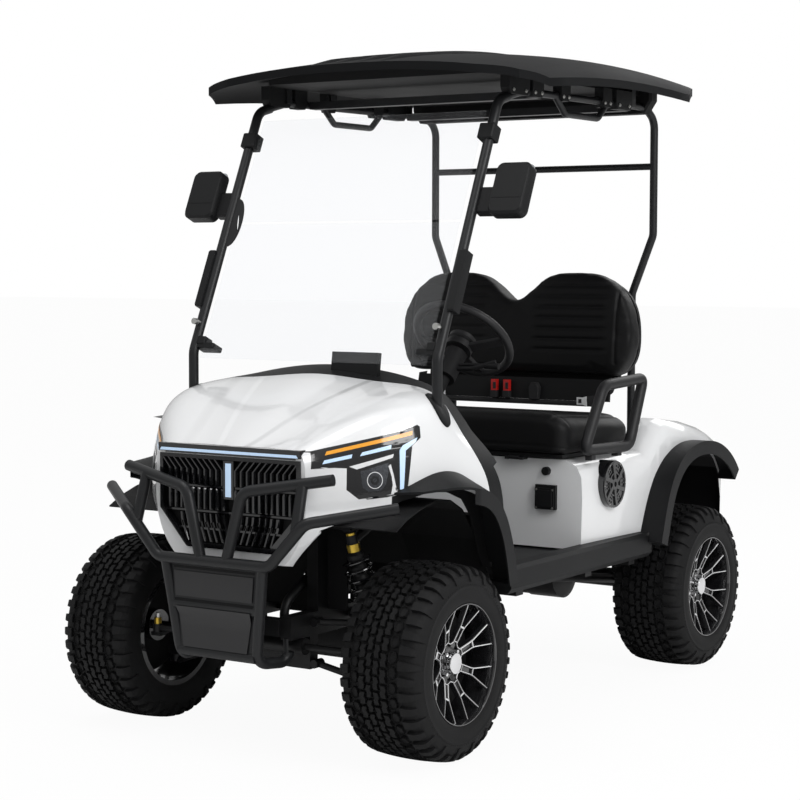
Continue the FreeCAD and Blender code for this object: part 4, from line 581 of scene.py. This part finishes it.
flank_block = [(0.000, 0.026), (0.013, 0.031), (0.022, 0.026), (0.036, 0.029), (0.037, 0.046),
               (0.022, 0.042), (0.013, 0.047), (0.001, 0.042)]
side_block = [(0.003, 0.054), (0.018, 0.051), (0.031, 0.055), (0.034, 0.064), (0.029, 0.074),
              (0.014, 0.077), (0.002, 0.072), (-0.001, 0.063)]
for number in range(PITCHES):
    start = number * pitch
    for side in (-1, 1):
        shift = start if side > 0 else start + 0.55 * pitch
        tread_block(bm, shift, [(s, side * x) for s, x in centre_block])
        tread_block(bm, shift + 0.5 * pitch, [(s, side * x) for s, x in flank_block])
        tread_block(bm, shift + 0.3 * pitch, [(s, side * x) for s, x in side_block], dimple=0.006)
        shoulder_lug(bm, shift + 0.15 * pitch, side, (number + (side > 0)) % 2 == 0)
WEAR_MARKS = 120
for number in range(WEAR_MARKS):
    turn = 2 * math.pi * number / WEAR_MARKS
    corners = [on_tyre((turn + lead) * TYRE_RADIUS, 0.1362, r)
               for lead, r in ((0.0, 0.2315), (0.012, 0.2365), (0.020, 0.2315))]
    peak = bm.verts.new(sum(corners, Vector()) / 3 + Vector((0.0014, 0, 0)))
    feet = [bm.verts.new(corner) for corner in corners]
    for first, second in zip(feet, feet[1:] + feet[:1]):
        bm.faces.new((first, second, peak))
tyre_rubber = finish("tyre_rubber", (0.0068, 0.0068, 0.0072), 0.62, mottle=0.5, spread=0.25,
                     scale=500.0, depth=0.25, specular_ior_level=0.18)
tyre_piece = new_piece("tyre_tread_fl", bm, None, [tyre_rubber], smooth=28)


# Rims: gloss black with eight split spokes, whose narrow front faces are
# machined bright. Chrome nuts and a silver cap close the hub.
bright = finish("machined_alloy", (0.80, 0.80, 0.81), 0.30, mottle=0.06, spread=0.1, scale=250.0,
                depth=0.05, metallic=1.0)
rim_black = finish("gloss_black_alloy", (0.010, 0.010, 0.011), 0.16, mottle=0.2, scale=120.0,
                   depth=0.02, coat_weight=1.0, coat_roughness=0.04)
chrome = finish("polished_cap", (0.78, 0.78, 0.79), 0.14, mottle=0.05, scale=150.0, depth=0.05,
                metallic=1.0)


def dished(radius):
    """How far out the spokes' face stands at a radius: the rim's centre is sunk."""
    return 0.082 + 0.040 * min(1.0, max(0.0, (radius - 0.045) / 0.12)) ** 1.4


def spoke_bar(bm, points, front_half, back_half, turn, sunk=0.0, deep=0.016):
    """A tapered bar along points of the spoke face, bright in front and black behind."""
    spin = Matrix.Rotation(turn, 4, "X")
    rows = []
    for k, (u, v) in enumerate(points):
        before, after = Vector(points[max(k - 1, 0)]), Vector(points[min(k + 1, len(points) - 1)])
        side = (after - before).normalized().orthogonal()
        face = dished(math.hypot(u, v)) - sunk
        rows.append([bm.verts.new(spin @ Vector((x, u + side.x * w, v + side.y * w))) for x, w in (
            (face - deep, -back_half), (face - 0.0015, -front_half - 0.0015), (face, -front_half),
            (face, front_half), (face - 0.0015, front_half + 0.0015), (face - deep, back_half))])
    for a, b in zip(rows, rows[1:]):
        for k in range(6):
            n = (k + 1) % 6
            bm.faces.new((a[k], a[n], b[n], b[k])).material_index = 1 if k == 2 and not sunk else 0
    for row in (rows[0], rows[-1]):
        bm.faces.new(row)


bm = bmesh.new()
rim_line = [(-0.112, 0.169), (-0.112, 0.190), (-0.104, 0.190), (-0.104, 0.1775), (0.104, 0.1775),
            (0.120, 0.1782), (0.1300, 0.1796), (0.1336, 0.1780), (0.1332, 0.1750), (0.1250, 0.1720),
            (0.09, 0.1690), (-0.10, 0.1670), (-0.112, 0.169)]
revolved(bm, rim_line, 96)
revolved(bm, [(-0.03, 0.017), (-0.03, 0.050), (0.067, 0.050), (0.0745, 0.047), (0.076, 0.040),
              (0.0760, 0.0)], 48)
revolved(bm, [(0.0, 0.020), (0.0, 0.149), (0.004, 0.153), (0.042, 0.153), (0.046, 0.149), (0.046, 0.020)],
         72, slot=3)
revolved(bm, [(0.076, 0.0325), (0.0985, 0.0320), (0.1020, 0.0300), (0.1035, 0.016), (0.1040, 0.0)], 48,
         slot=2)
SPOKES, NUTS = 8, 4
for number in range(SPOKES):
    turn = 2 * math.pi * (number + 0.5) / SPOKES
    for hand in (-1, 1):
        spoke_bar(bm, [(hand * 0.0100, 0.060), (hand * 0.0095, 0.100), (hand * 0.0120, 0.114),
                       (hand * 0.0330, 0.1690)], 0.0013, 0.0060, turn)
        spoke_bar(bm, [(hand * 0.0100, 0.060), (hand * 0.0185, 0.0535), (hand * 0.0225, 0.0500)],
                  0.0011, 0.0055, turn)
    spoke_bar(bm, [(-0.0095, 0.1075), (0.0095, 0.1075)], 0.0028, 0.0065, turn)
    spoke_bar(bm, [(-0.0095, 0.0640), (0.0095, 0.0640)], 0.0011, 0.0050, turn)
    spoke_bar(bm, [(0.0, 0.040), (0.0, 0.105)], 0.0090, 0.0120, turn, sunk=0.006, deep=0.012)
for number in range(NUTS):
    turn = 2 * math.pi * (number + 0.5) / NUTS
    nut = bmesh.ops.create_cone(bm, cap_ends=True, segments=6, radius1=0.0065, radius2=0.0055,
                                depth=0.018)["verts"]
    bmesh.ops.rotate(bm, verts=nut, cent=(0, 0, 0), matrix=Matrix.Rotation(math.pi / 2, 3, "Y"))
    bmesh.ops.translate(bm, verts=nut, vec=(0.081, 0.0415 * math.sin(turn), 0.0415 * math.cos(turn)))
    for face in {f for v in nut for f in v.link_faces}:
        face.material_index = 2
rim_piece = new_piece("rim_spokes_fl", bm, None, [rim_black, bright, chrome, deep_black], smooth=30)
for corner in ("fl", "fr", "rl", "rr"):
    low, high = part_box(f"tyre_{corner}")
    for first, kind in ((tyre_piece, "tyre"), (rim_piece, "rim")):
        piece = first if corner == "fl" else placed(first.name.replace("_fl", "_" + corner), first.data)
        piece.location = (low + high) / 2
        if corner.endswith("r"):
            piece.rotation_euler = (0, 0, math.pi)
        bpy.context.view_layer.update()
        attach(piece, "wheel_" + corner)
        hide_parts(f"{kind}_{corner}")


# Strut feet: each front strut stands in a black moulded teardrop that lies on
# the hood, and it is clamped by bright knobs that hold the upper pane.
def tube_mesh(bm, points, radius, sides=12, slot=0):
    """A round bar through points, closed at both ends."""
    rows, points = [], [Vector(p) for p in points]
    side = None
    for k, point in enumerate(points):
        run = (points[min(k + 1, len(points) - 1)] - points[max(k - 1, 0)]).normalized()
        side = run.orthogonal() if side is None else side - run * side.dot(run)
        side.normalize()
        other = run.cross(side)
        rows.append([bm.verts.new(point + (side * math.cos(t) + other * math.sin(t)) * radius)
                     for t in (2 * math.pi * n / sides for n in range(sides))])
    join_rows(bm, rows, slot)


def bolt(bm, at, outward, radius, tall, slot=0):
    """A hexagon bolt head on a washer."""
    at, outward = Vector(at), Vector(outward).normalized()
    tube_mesh(bm, [at - outward * 0.002, at + outward * tall * 0.3], radius * 1.5, 16, slot)
    tube_mesh(bm, [at, at + outward * tall], radius, 6, slot)


def slab(bm, outline, origin, thick, slot=0, edge=0.0015, across=ACROSS, up=UP):
    """A plate of one outline with chamfered front edges; it grows against its outward normal."""
    outward = across.cross(up).normalized()
    middle = sum((Vector(p) for p in outline), Vector((0, 0))) / len(outline)
    rows = []
    for depth, gap in ((-thick, 0.0), (-edge, 0.0), (0.0, edge)):
        row = []
        for p in outline:
            flat = Vector(p)
            toward = middle - flat
            flat = flat + toward.normalized() * min(gap, toward.length * 0.5)
            row.append(bm.verts.new(origin + across * flat.x + up * flat.y + outward * depth))
        rows.append(row)
    join_rows(bm, rows, slot)


def plate(half_wide, half_tall):
    """The corners of a rectangle about its middle."""
    return [(-half_wide, -half_tall), (half_wide, -half_tall), (half_wide, half_tall),
            (-half_wide, half_tall)]


bright_steel = finish("bright_zinc_bolt", (0.62, 0.62, 0.60), 0.3, mottle=0.2, metallic=1.0,
                      scale=300.0, depth=0.1)
LEAF_POINTS, STRUT_X, STRUT_Y, STRUT_Z = 36, 0.467, -0.699, 1.17
rake = Vector((0, 0.351, 0.792)).normalized()
foot = Vector((STRUT_X, STRUT_Y, 1.03))
fall = Vector((0.52, 0, -0.85)).normalized()
outward = Vector((0.85, 0, 0.52)).normalized()
skin = surface_of("front_cowl")
bm = bmesh.new()
leaf = []
for k in range(LEAF_POINTS):
    t = 2 * math.pi * k / LEAF_POINTS
    start = foot + fall * (0.012 + 0.062 * math.cos(t)) + Vector((0, 0.034 * math.sin(t), 0))
    leaf.append(skin.ray_cast(start + outward * 0.2, -outward)[0] or start)
middle = sum(leaf, Vector()) / LEAF_POINTS
rows = [[bm.verts.new(middle.lerp(point, size) + outward * lift) for point in leaf]
        for lift, size in ((0.0005, 1.0), (0.006, 0.98), (0.0095, 0.88), (0.013, 0.45), (0.0135, 0.02))]
join_rows(bm, rows, caps=False)
bm.faces.new(rows[-1])
mirror_across(bm)
new_piece("strut_feet", bm, "chassis", [black_mould], smooth=50)


def on_strut(x, z):
    """A place in front of a strut at a height."""
    return Vector((x, STRUT_Y + (z - STRUT_Z) * rake.y / rake.z, z))


bm = bmesh.new()
knob_at = on_strut(0.462, 1.262)
neck, knob_end = knob_at + Vector((0, -0.030, 0.004)), knob_at + Vector((0, -0.046, 0.006))
tube_mesh(bm, [knob_at, neck], 0.0048, 12)
tube_mesh(bm, [neck, knob_end], 0.0105, 10)
before_strut = Vector((STRUT_X, -0.80, 1.856))
bolt(bm, surface_of("front_struts").ray_cast(before_strut, BACK)[0], (0, -1, 0.4), 0.004, 0.004)
mirror_across(bm)
new_piece("strut_bolts", bm, "chassis", [bright_steel], smooth=30)

# Windshield hinge: a half-moon steel plate with a slot stands inboard of the
# passenger's strut where the panes meet, so that the upper one can fold down.
bm = bmesh.new()
hinge_at, hinge_thick = Vector((-0.454, -0.520, 1.588)), Vector((0, 0.004, 0))
turns = [2 * math.pi * k / 32 for k in range(32)]
outer_loop = [(0.046 * max(0.0, math.cos(t)) ** 0.8, 0.088 * math.sin(t)) for t in turns]
slot_loop = [(0.030 - 0.006 * math.sin(t) + 0.0035 * math.cos(t), 0.030 * math.sin(t)) for t in turns]
rows = [[bm.verts.new(hinge_at + ACROSS * u + rake * w + hinge_thick * behind) for u, w in loop]
        for loop, behind in ((outer_loop, 1), (outer_loop, 0), (slot_loop, 0), (slot_loop, 1))]
join_rows(bm, rows + rows[:1], caps=False)
new_piece("windshield_hinge", bm, "chassis", [powder], smooth=30)


# Mirrors: a rounded housing that leans back with the strut stands on a wedge
# foot. The case is black plastic with a parting line, and glass fills its back.
def round_plate(half_wide, half_tall, corner):
    """Points round a rectangle with round corners."""
    points = []
    for cx, cy, first in ((1, -1, -90), (1, 1, 0), (-1, 1, 90), (-1, -1, 180)):
        for k in range(6):
            t = math.radians(first + 18 * k)
            points.append((cx * (half_wide - corner) + corner * math.cos(t),
                           cy * (half_tall - corner) + corner * math.sin(t)))
    return points


bm = bmesh.new()
mirror_low, mirror_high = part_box("mirrors")
mirror_at = Vector((mirror_high.x - 0.066, mirror_low.y + 0.004, (mirror_low.z + mirror_high.z) / 2))
for outline, shift, thick, edge, slot in (
        (round_plate(0.060, 0.086, 0.022), Vector(), 0.044, 0.008, 0),
        (round_plate(0.052, 0.0012, 0.001), rake * -0.034 - BACK * 0.0006, 0.004, 0.0005, 1),
        (round_plate(0.051, 0.077, 0.018), BACK * 0.0455, 0.002, 0.001, 2),
        (round_plate(0.030, 0.044, 0.006), Vector((-0.086, 0.010, -0.036)), 0.030, 0.006, 0)):
    slab(bm, outline, mirror_at + shift, thick, slot, edge, up=rake)
mirror_across(bm)
mirror_glass = finish("mirror_glass", (0.55, 0.57, 0.6), 0.04, mottle=0.03, depth=0.01, metallic=1.0)
mirror_pair = new_piece("mirror_housings", bm, "chassis", [black_mould, deep_black, mirror_glass],
                        smooth=40)
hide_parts("mirrors")

# Windshield clips: on each strut a block grips the upper pane near its top, a
# long catch holds the folded pane, and a stop carries the lower pane's foot.
bm = bmesh.new()
for x, z, half_wide, half_tall, ahead, deep in (
        (0.461, 1.868, 0.027, 0.026, -0.026, 0.046), (0.484, 1.408, 0.013, 0.100, -0.026, 0.040),
        (0.425, 1.192, 0.038, 0.009, -0.010, 0.050), (0.440, 1.208, 0.016, 0.014, -0.014, 0.040)):
    slab(bm, round_plate(half_wide, half_tall, 0.004), on_strut(x, z) + BACK * ahead, deep,
         edge=0.004, up=rake)
mirror_across(bm)
clip_set = new_piece("windshield_clips", bm, "chassis", [black_mould], smooth=30)
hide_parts("windshield_clamps")

# Under the roof: a black tray stiffens the crown, and the side rails hang from
# it on short plates, each held by two bright bolts.
bm = bmesh.new()
tray_top, tray_low, cut_x, cut_y = 2.088, 2.050, 0.04, 0.05
rows = [[bm.verts.new((x, y, z)) for x, y in (
    (-half + cut_x, front), (half - cut_x, front), (half, front + cut_y), (half, rear - cut_y),
    (half - cut_x, rear), (-half + cut_x, rear), (-half, rear - cut_y), (-half, front + cut_y))]
    for half, front, rear, z in ((0.46, -0.36, 0.70, tray_top), (0.455, -0.355, 0.695, tray_low),
                                 (0.43, -0.33, 0.67, tray_low - 0.004))]
join_rows(bm, rows)
slab(bm, [(-0.500, 0.0), (-0.47, -0.045), (0.47, -0.045), (0.500, 0.0), (0.500, 0.055),
          (-0.500, 0.055)], Vector((0, 0.655, 2.030)), 0.050, edge=0.008)
new_piece("roof_tray", bm, "chassis", [deep_black], smooth=30)
bm = bmesh.new()
for middle_y, half_long in ((-0.245, 0.065), (-0.125, 0.036), (0.060, 0.030), (0.355, 0.032),
                            (0.480, 0.060)):
    slab(bm, [(-half_long, 0.004), (-half_long + 0.012, -0.016), (half_long - 0.012, -0.016),
              (half_long, 0.004), (half_long, 0.050), (-half_long, 0.050)],
         Vector((0.486, middle_y, 2.002)), 0.034, across=BACK)
    for end in (-1, 1):
        bolt(bm, (0.486, middle_y + end * half_long * 0.6, 2.000), ACROSS, 0.0040, 0.004, slot=1)
mirror_across(bm)
new_piece("roof_plates", bm, "chassis", [black_mould, bright_steel], smooth=30)

# Roof swages: two raised ribs each side of the middle are pressed along the
# crown to stiffen the thin shell, and they fade out at both ends.
roof_top = surface_of("roof")
bm = bmesh.new()
SWAGE_STEPS, SWAGE_RISE, SWAGE_SLOPE, CLEAR = 32, 0.009, 0.007, 0.0006
for near, far in ((0.030, 0.062), (0.112, 0.144)):
    rows = []
    for k in range(SWAGE_STEPS + 1):
        y = -0.515 + 1.29 * k / SWAGE_STEPS
        rise = SWAGE_RISE * min(1.0, (k + 0.001) / 3, (SWAGE_STEPS + 0.001 - k) / 3)
        spots = [(near, CLEAR), (near + SWAGE_SLOPE, rise), (far - SWAGE_SLOPE, rise), (far, CLEAR)]
        rows.append([bm.verts.new(roof_top.ray_cast(Vector((x, y, 2.4)), -UP)[0] + UP * lift)
                     for x, lift in spots])
    join_rows(bm, rows, ring=False, caps=False)
mirror_across(bm)
new_piece("roof_swages", bm, "chassis", [roof_black], smooth=30)

# Armrests: a steel loop in a thick padded sleeve stands on the seat box at each
# side, on two short feet.
def rounded(points, bend, steps=7):
    """A route with each inner corner turned into a smooth bend."""
    points = [Vector(p) for p in points]
    route = [points[0]]
    for before, corner, after in zip(points, points[1:], points[2:]):
        into, out = (corner - before).normalized(), (after - corner).normalized()
        first, last = corner - into * bend, corner + out * bend
        for k in range(steps + 1):
            t = k / steps
            route.append(first * (1 - t) ** 2 + corner * 2 * t * (1 - t) + last * t ** 2)
    return route + [points[-1]]


bm = bmesh.new()
arm_loop = [(0.566, y, z) for y, z in ((0.200, 0.838), (0.054, 0.843), (0.188, 1.050), (0.484, 1.062),
                                       (0.380, 0.834), (0.200, 0.838))]
tube_mesh(bm, rounded(arm_loop, 0.036), 0.0190, 24)
for y in (0.110, 0.300):
    slab(bm, [(-0.016, 0.003), (0.016, 0.003), (0.016, 0.026), (-0.016, 0.026)],
         Vector((0.572, y, 0.803)), 0.024, edge=0.003, across=BACK)
mirror_across(bm)
arm_pads = new_piece("armrest_sleeves", bm, "chassis", [rubber_grip], smooth=50)
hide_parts("armrests")

# Seat belts: two red buckles on stalks rise at the middle of the seat, the
# outer belt ends hang by the armrests, and a black bar joins their anchors.
webbing = finish("belt_webbing", (0.010, 0.010, 0.011), 0.7, mottle=0.3, scale=1200.0, depth=0.5)
buckle_red = finish("buckle_red", (0.48, 0.012, 0.010), 0.28, mottle=0.1, scale=300.0, depth=0.05)
bm = bmesh.new()
panel_y = 0.556
for x in (-0.060, -0.008):
    slab(bm, plate(0.0115, 0.022), Vector((x, panel_y - 0.030, 1.013)), 0.018, slot=1)
    slab(bm, plate(0.006, 0.012), Vector((x + 0.004, panel_y - 0.0315, 1.013)), 0.004)
    slab(bm, [(-0.0135, -0.014), (0.0135, -0.014), (0.0135, 0.010), (-0.0135, 0.010)],
         Vector((x, panel_y - 0.0325, 0.985)), 0.020)
    bar_mesh(bm, [(x, panel_y - 0.022, 0.993), (x, panel_y - 0.012, 0.962), (x, panel_y, 0.955)],
             0.010, 0.002)
slab(bm, [(-0.017, -0.030), (0.017, -0.030), (0.020, 0.012), (0.010, 0.030), (-0.010, 0.030),
          (-0.020, 0.012)], Vector((0.104, panel_y - 0.026, 0.998)), 0.022)
tube_mesh(bm, [(-0.36, panel_y - 0.008, 0.958), (0.36, panel_y - 0.008, 0.958)], 0.0095, 16)
for side in (-1, 1):
    x = side * 0.297
    slab(bm, [(-0.020, -0.013), (0.004, -0.013), (0.022, -0.018), (0.022, 0.018), (0.004, 0.013),
              (-0.020, 0.013)], Vector((x, panel_y - 0.020, 0.968)), 0.003, slot=2)
    slab(bm, [(-0.012, -0.0075), (0.001, -0.0075), (0.001, 0.0075), (-0.012, 0.0075)],
         Vector((x, panel_y - 0.0215, 0.968)), 0.002)
    bar_mesh(bm, [(side * 0.319, panel_y - 0.018, 0.968), (side * 0.355, panel_y - 0.014, 0.974),
                  (side * 0.395, panel_y + 0.004, 1.010), (side * 0.402, panel_y + 0.03, 1.050)],
             0.018, 0.0015)
new_piece("seat_belts", bm, "chassis", [webbing, buckle_red, white_coat], smooth=30)

# Seat box fittings: on the driver's front corner a key lock and a charging
# socket behind a square flap, and in each side a round speaker.
bm = bmesh.new()
flap_at = Vector((0.428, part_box("charge_port")[0].y - 0.001, 0.676))
slab(bm, plate(0.036, 0.036), flap_at, 0.004)
slab(bm, plate(0.029, 0.029), flap_at - BACK * 0.0025, 0.003)
for dx, dz in plate(0.030, 0.030):
    bolt(bm, flap_at + Vector((dx, 0, dz)), -BACK, 0.0026, 0.0028, slot=1)
new_piece("charge_flap", bm, "chassis", [black_mould, bright_steel], smooth=30)

bm = bmesh.new()
speaker_low, speaker_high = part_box("speakers")
radius = (speaker_high.z - speaker_low.z) / 2
origin = Vector((speaker_high.x, (speaker_low.y + speaker_high.y) / 2, speaker_low.z + radius))


def on_speaker(r, turn, lift=0.0):
    """A place on the speaker's face, at a radius and an angle."""
    return origin + Vector((lift, r * math.cos(turn), r * math.sin(turn)))


def ring_plate(bm, inner, outer, lift, thick, count=40):
    """A flat ring on the speaker's face."""
    join_rows(bm, [[bm.verts.new(on_speaker(r, 2 * math.pi * k / count, x)) for k in range(count)]
                   for x, r in ((lift - thick, outer), (lift, outer - 0.001), (lift, inner + 0.001),
                                (lift - thick, inner))], caps=False)


ring_plate(bm, radius - 0.010, radius, 0.004, 0.006)
ring_plate(bm, radius * 0.44, radius * 0.52, 0.004, 0.005)
ring_plate(bm, radius * 0.10, radius * 0.26, 0.005, 0.005)
ARMS = 6
for number in range(ARMS):
    turn = 2 * math.pi * (number + 0.5) / ARMS
    bar_mesh(bm, [on_speaker(radius * r, turn + twist, 0.0025)
                  for r, twist in ((0.24, 0.0), (0.5, 0.10), (0.75, 0.16), (0.93, 0.18))],
             0.0065, 0.0025, side=ACROSS)
for number in range(ARMS):
    turn = 2 * math.pi * number / ARMS
    for r in (0.62, 0.78):
        for step in (-0.22, 0.0, 0.22):
            bolt(bm, on_speaker(radius * r, turn + step), ACROSS, 0.0030, 0.0025)
    bolt(bm, on_speaker(radius - 0.005, turn, 0.003), ACROSS, 0.0022, 0.002, slot=1)
mirror_across(bm)
new_piece("speaker_grilles", bm, "chassis", [gloss_black, bright_steel], smooth=30)

# Column: a shroud goes round it with a moulded stalk each side, and the hand
# wheel's hub is closed by a soft round pad with a gloss button.
def disc(radius, count):
    """Points round a circle."""
    return [(radius * math.cos(2 * math.pi * k / count), radius * math.sin(2 * math.pi * k / count))
            for k in range(count)]


COLUMN_TILT = math.radians(44.6)
axis = Vector((0, math.sin(COLUMN_TILT), math.cos(COLUMN_TILT)))
up_wheel = Vector((0, -math.cos(COLUMN_TILT), math.sin(COLUMN_TILT)))
hub = Vector((0.23, -0.163, 1.208))
bm = bmesh.new()
slab(bm, disc(0.047, 40), hub - axis * 0.020, 0.020, edge=0.006, up=up_wheel)
slab(bm, disc(0.022, 32), hub - axis * 0.0185, 0.003, slot=1, edge=0.001, up=up_wheel)
new_piece("hub_pad", bm, "steering_wheel", [rubber_grip, gloss_black], smooth=40)
bm = bmesh.new()
start = hub - axis * 0.115
tube_mesh(bm, [start + axis * 0.028, start + axis * 0.024, start - axis * 0.03, start - axis * 0.055],
          0.033, 28)
for side, reach in ((1, 0.132), (-1, 0.105)):
    root = start + Vector((side * 0.034, 0, 0))
    tube_mesh(bm, [root, root + Vector((side * 0.03, 0, 0.004)),
                   root + Vector((side * reach * 0.8, 0.006, 0.002)),
                   root + Vector((side * reach, 0.008, 0.0))], 0.0062, 12)
    tube_mesh(bm, [root + Vector((side * reach * 0.72, 0.006, 0.002)),
                   root + Vector((side * (reach + 0.012), 0.009, 0.0))], 0.0105, 16)
new_piece("column_stalks", bm, "chassis", [deep_black], smooth=40)

# Brush guard plate: two flat panels, each inside a raised border, with a thin near-black strip over and
# under the upper one as painted shade for the gap slots; the panels are left plain.
guard_skin = surface_of("brush_guard")
bm = bmesh.new()
before_guard = Vector((0, -1.40, 0))
# The rows with slot 1 are thin near-black strips: painted shade standing for the gap slots over and under
# the upper panel.
for low_z, high_z, half_low, half_high, lift, slot in (
        (0.470, 0.545, 0.142, 0.148, 0.004, 0), (0.318, 0.440, 0.118, 0.138, 0.004, 0),
        (0.5525, 0.5595, 0.150, 0.150, 0.0015, 1), (0.4555, 0.4625, 0.146, 0.146, 0.0015, 1)):
    lay_on(bm, guard_skin, [(-half_low, low_z), (half_low, low_z), (half_high, high_z),
                            (-half_high, high_z)], lift, slot, before_guard, ACROSS, BACK, cuts=3)
guard_grey = finish("guard_plate_coat", (0.022, 0.022, 0.023), 0.42, mottle=0.2, scale=300.0, depth=0.1,
                    specular_ior_level=0.35)
new_piece("guard_panels", bm, "chassis", [guard_grey, deep_black], smooth=30)

# Front suspension: dampers with gold top collars inside black coil springs,
# and gold tie-rod joints at the knuckles.
gold = finish("gold_zinc", (0.55, 0.38, 0.06), 0.32, mottle=0.3, metallic=1.0, scale=200.0, depth=0.1)
bm = bmesh.new()
shock_foot, shock_head = Vector((0.345, -0.822, 0.258)), Vector((0.286, -0.900, 0.670))
shock_line = shock_head - shock_foot
for start, end, radius, slot in ((0.83, 0.885, 0.0205, 0), (0.915, 0.965, 0.0150, 0),
                                 (0.60, 0.83, 0.0185, 1)):
    tube_mesh(bm, [shock_foot + shock_line * start, shock_foot + shock_line * end], radius, 20, slot)
side = shock_line.normalized().orthogonal()
other = shock_line.normalized().cross(side)
COIL_TURNS, COIL_STEPS, COIL_RADIUS = 8, 200, 0.029
coil = []
for k in range(COIL_STEPS + 1):
    share = k / COIL_STEPS
    turn = 2 * math.pi * COIL_TURNS * share
    coil.append(shock_foot + shock_line * (0.26 + 0.52 * share)
                + (side * math.cos(turn) + other * math.sin(turn)) * COIL_RADIUS)
tube_mesh(bm, coil, 0.0040, 8, slot=1)
mirror_across(bm)
new_piece("gold_shocks", bm, "chassis", [gold, gloss_black], smooth=40)
for hand, body_name in ((1, "left"), (-1, "right")):
    bm = bmesh.new()
    tie_end = Vector((hand * 0.370, -1.000, 0.352))
    tube_mesh(bm, [tie_end - UP * 0.052, tie_end], 0.0115, 16)
    tube_mesh(bm, [tie_end, tie_end + UP * 0.014], 0.0075, 6, slot=1)
    new_piece("ball_joint_" + body_name, bm, "knuckle_" + body_name, [gold, bright_steel], smooth=40)


# Seat: the base and the two-hump backrest are foam under black grained vinyl.
# Each is blown up a little as cloth, and then its sewn channels are drawn in.
CLOTH_STEPS = 20


def stuffed(name, node, inset, voxel, cap, ease, body):
    """A cushion from a CAD solid: drawn in, remeshed, swelled as cloth and held to a cap."""
    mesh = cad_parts[node].data.copy()
    mesh.name = name
    piece = placed(name, mesh)
    low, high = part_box(node)
    middle, size = (low + high) / 2, high - low
    for vert in mesh.vertices:
        for k in range(3):
            vert.co[k] = middle[k] + (vert.co[k] - middle[k]) * (1 - 2 * inset / size[k])
    bpy.context.view_layer.objects.active = piece
    remesh = piece.modifiers.new("even", "REMESH")
    remesh.mode, remesh.voxel_size = "VOXEL", voxel
    bpy.ops.object.modifier_apply(modifier=remesh.name)
    eased = piece.modifiers.new("eased", "SMOOTH")
    eased.factor, eased.iterations = 0.5, ease
    bpy.ops.object.modifier_apply(modifier=eased.name)
    rest = [v.co.copy() for v in piece.data.vertices]
    cloth = piece.modifiers.new("swell", "CLOTH")
    cloth.settings.use_pressure = True
    cloth.settings.uniform_pressure_force = 4
    cloth.settings.effector_weights.gravity = 0
    for step in range(1, CLOTH_STEPS + 1):
        bpy.context.scene.frame_set(step)
    bpy.ops.object.modifier_apply(modifier=cloth.name)
    bpy.context.scene.frame_set(1)
    for vert, start in zip(piece.data.vertices, rest):
        moved = vert.co - start
        if moved.length > cap:
            vert.co = start + moved * (cap / moved.length)
    fine = piece.modifiers.new("fine", "SUBSURF")
    fine.levels = fine.render_levels = 1
    bpy.ops.object.modifier_apply(modifier=fine.name)
    for vert in piece.data.vertices:
        for k in range(3):
            vert.co[k] = min(max(vert.co[k], low[k]), high[k])
    piece.data.shade_smooth()
    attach(piece, body)
    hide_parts(node)
    return piece


def groove(distance, width):
    """How deep a sewn channel is at a distance from its line, from 0 to 1."""
    return math.exp(-(distance / width) ** 2)


vinyl = finish("black_seat_vinyl", (0.0058, 0.0058, 0.0062), 0.44, mottle=0.4, spread=0.2, scale=650.0,
               depth=0.45, specular_ior_level=0.14)
seat_pad = stuffed("seat_pad", "seat_cushion", 0.004, 0.010, 0.010, 12, "seat_lid")
low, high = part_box("seat_cushion")
PIPING_HEIGHT, TOP_BAND = 0.030, 0.03
SIDE_SEAM_X, FRONT_SEAM_Y = 0.465, low.y + 0.06
REAR_FALL, END_FALL, NOSE_FALL = 0.034, 0.045, 0.012
for vert in seat_pad.data.vertices:
    x, y, z = vert.co
    seam = groove(z - (low.z + PIPING_HEIGHT), 0.004) * 0.004
    top = max(0.0, (z - high.z + TOP_BAND) / TOP_BAND)
    edge = min(abs(abs(x) - SIDE_SEAM_X), abs(y - FRONT_SEAM_Y))
    vert.co.z -= top * 0.005 * groove(edge, 0.006)
    out = Vector((x, y - 0.25, 0))
    vert.co -= out.normalized() * seam
    tall = max(0.0, (z - low.z) / (high.z - low.z))
    drop = REAR_FALL * (y - low.y) / (high.y - low.y) + END_FALL * max(0.0, (abs(x) - 0.40) / 0.13) ** 2.2
    vert.co.z -= tall * (drop + NOSE_FALL * max(0.0, 1 - (y - low.y) / 0.07) ** 2)
seat_pad.data.materials.clear()
seat_pad.data.materials.append(vinyl)

back_pad = stuffed("back_pad", "backrest_cushion", 0.002, 0.009, 0.012, 30, "chassis")
low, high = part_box("backrest_cushion")
LEAN, CHANNELS, FIRST_CHANNEL, CHANNEL_PITCH = math.tan(math.radians(6)), 7, 1.15, 0.038
PANEL_FROM, PANEL_TO, PANEL_EASE, SEWN_DEPTH = 0.085, 0.40, 0.03, 0.006
for vert in back_pad.data.vertices:
    x, y, z = vert.co
    face_y = low.y + (z - low.z) * LEAN
    front = max(0.0, 1 - max(0.0, y - face_y - 0.012) / 0.03)
    dent = 0.0
    if PANEL_FROM < abs(x) < PANEL_TO:
        ease = min(1.0, (abs(x) - PANEL_FROM) / PANEL_EASE, (PANEL_TO - abs(x)) / PANEL_EASE)
        for number in range(CHANNELS):
            height = FIRST_CHANNEL + CHANNEL_PITCH * number
            dent += ease * SEWN_DEPTH * groove(z - height, 0.006)
    dent += SEWN_DEPTH * groove(abs(x) - 0.425, 0.005) * (1 if z > low.z + 0.06 else 0)
    vert.co.y += front * dent
back_pad.data.materials.clear()
back_pad.data.materials.append(vinyl)
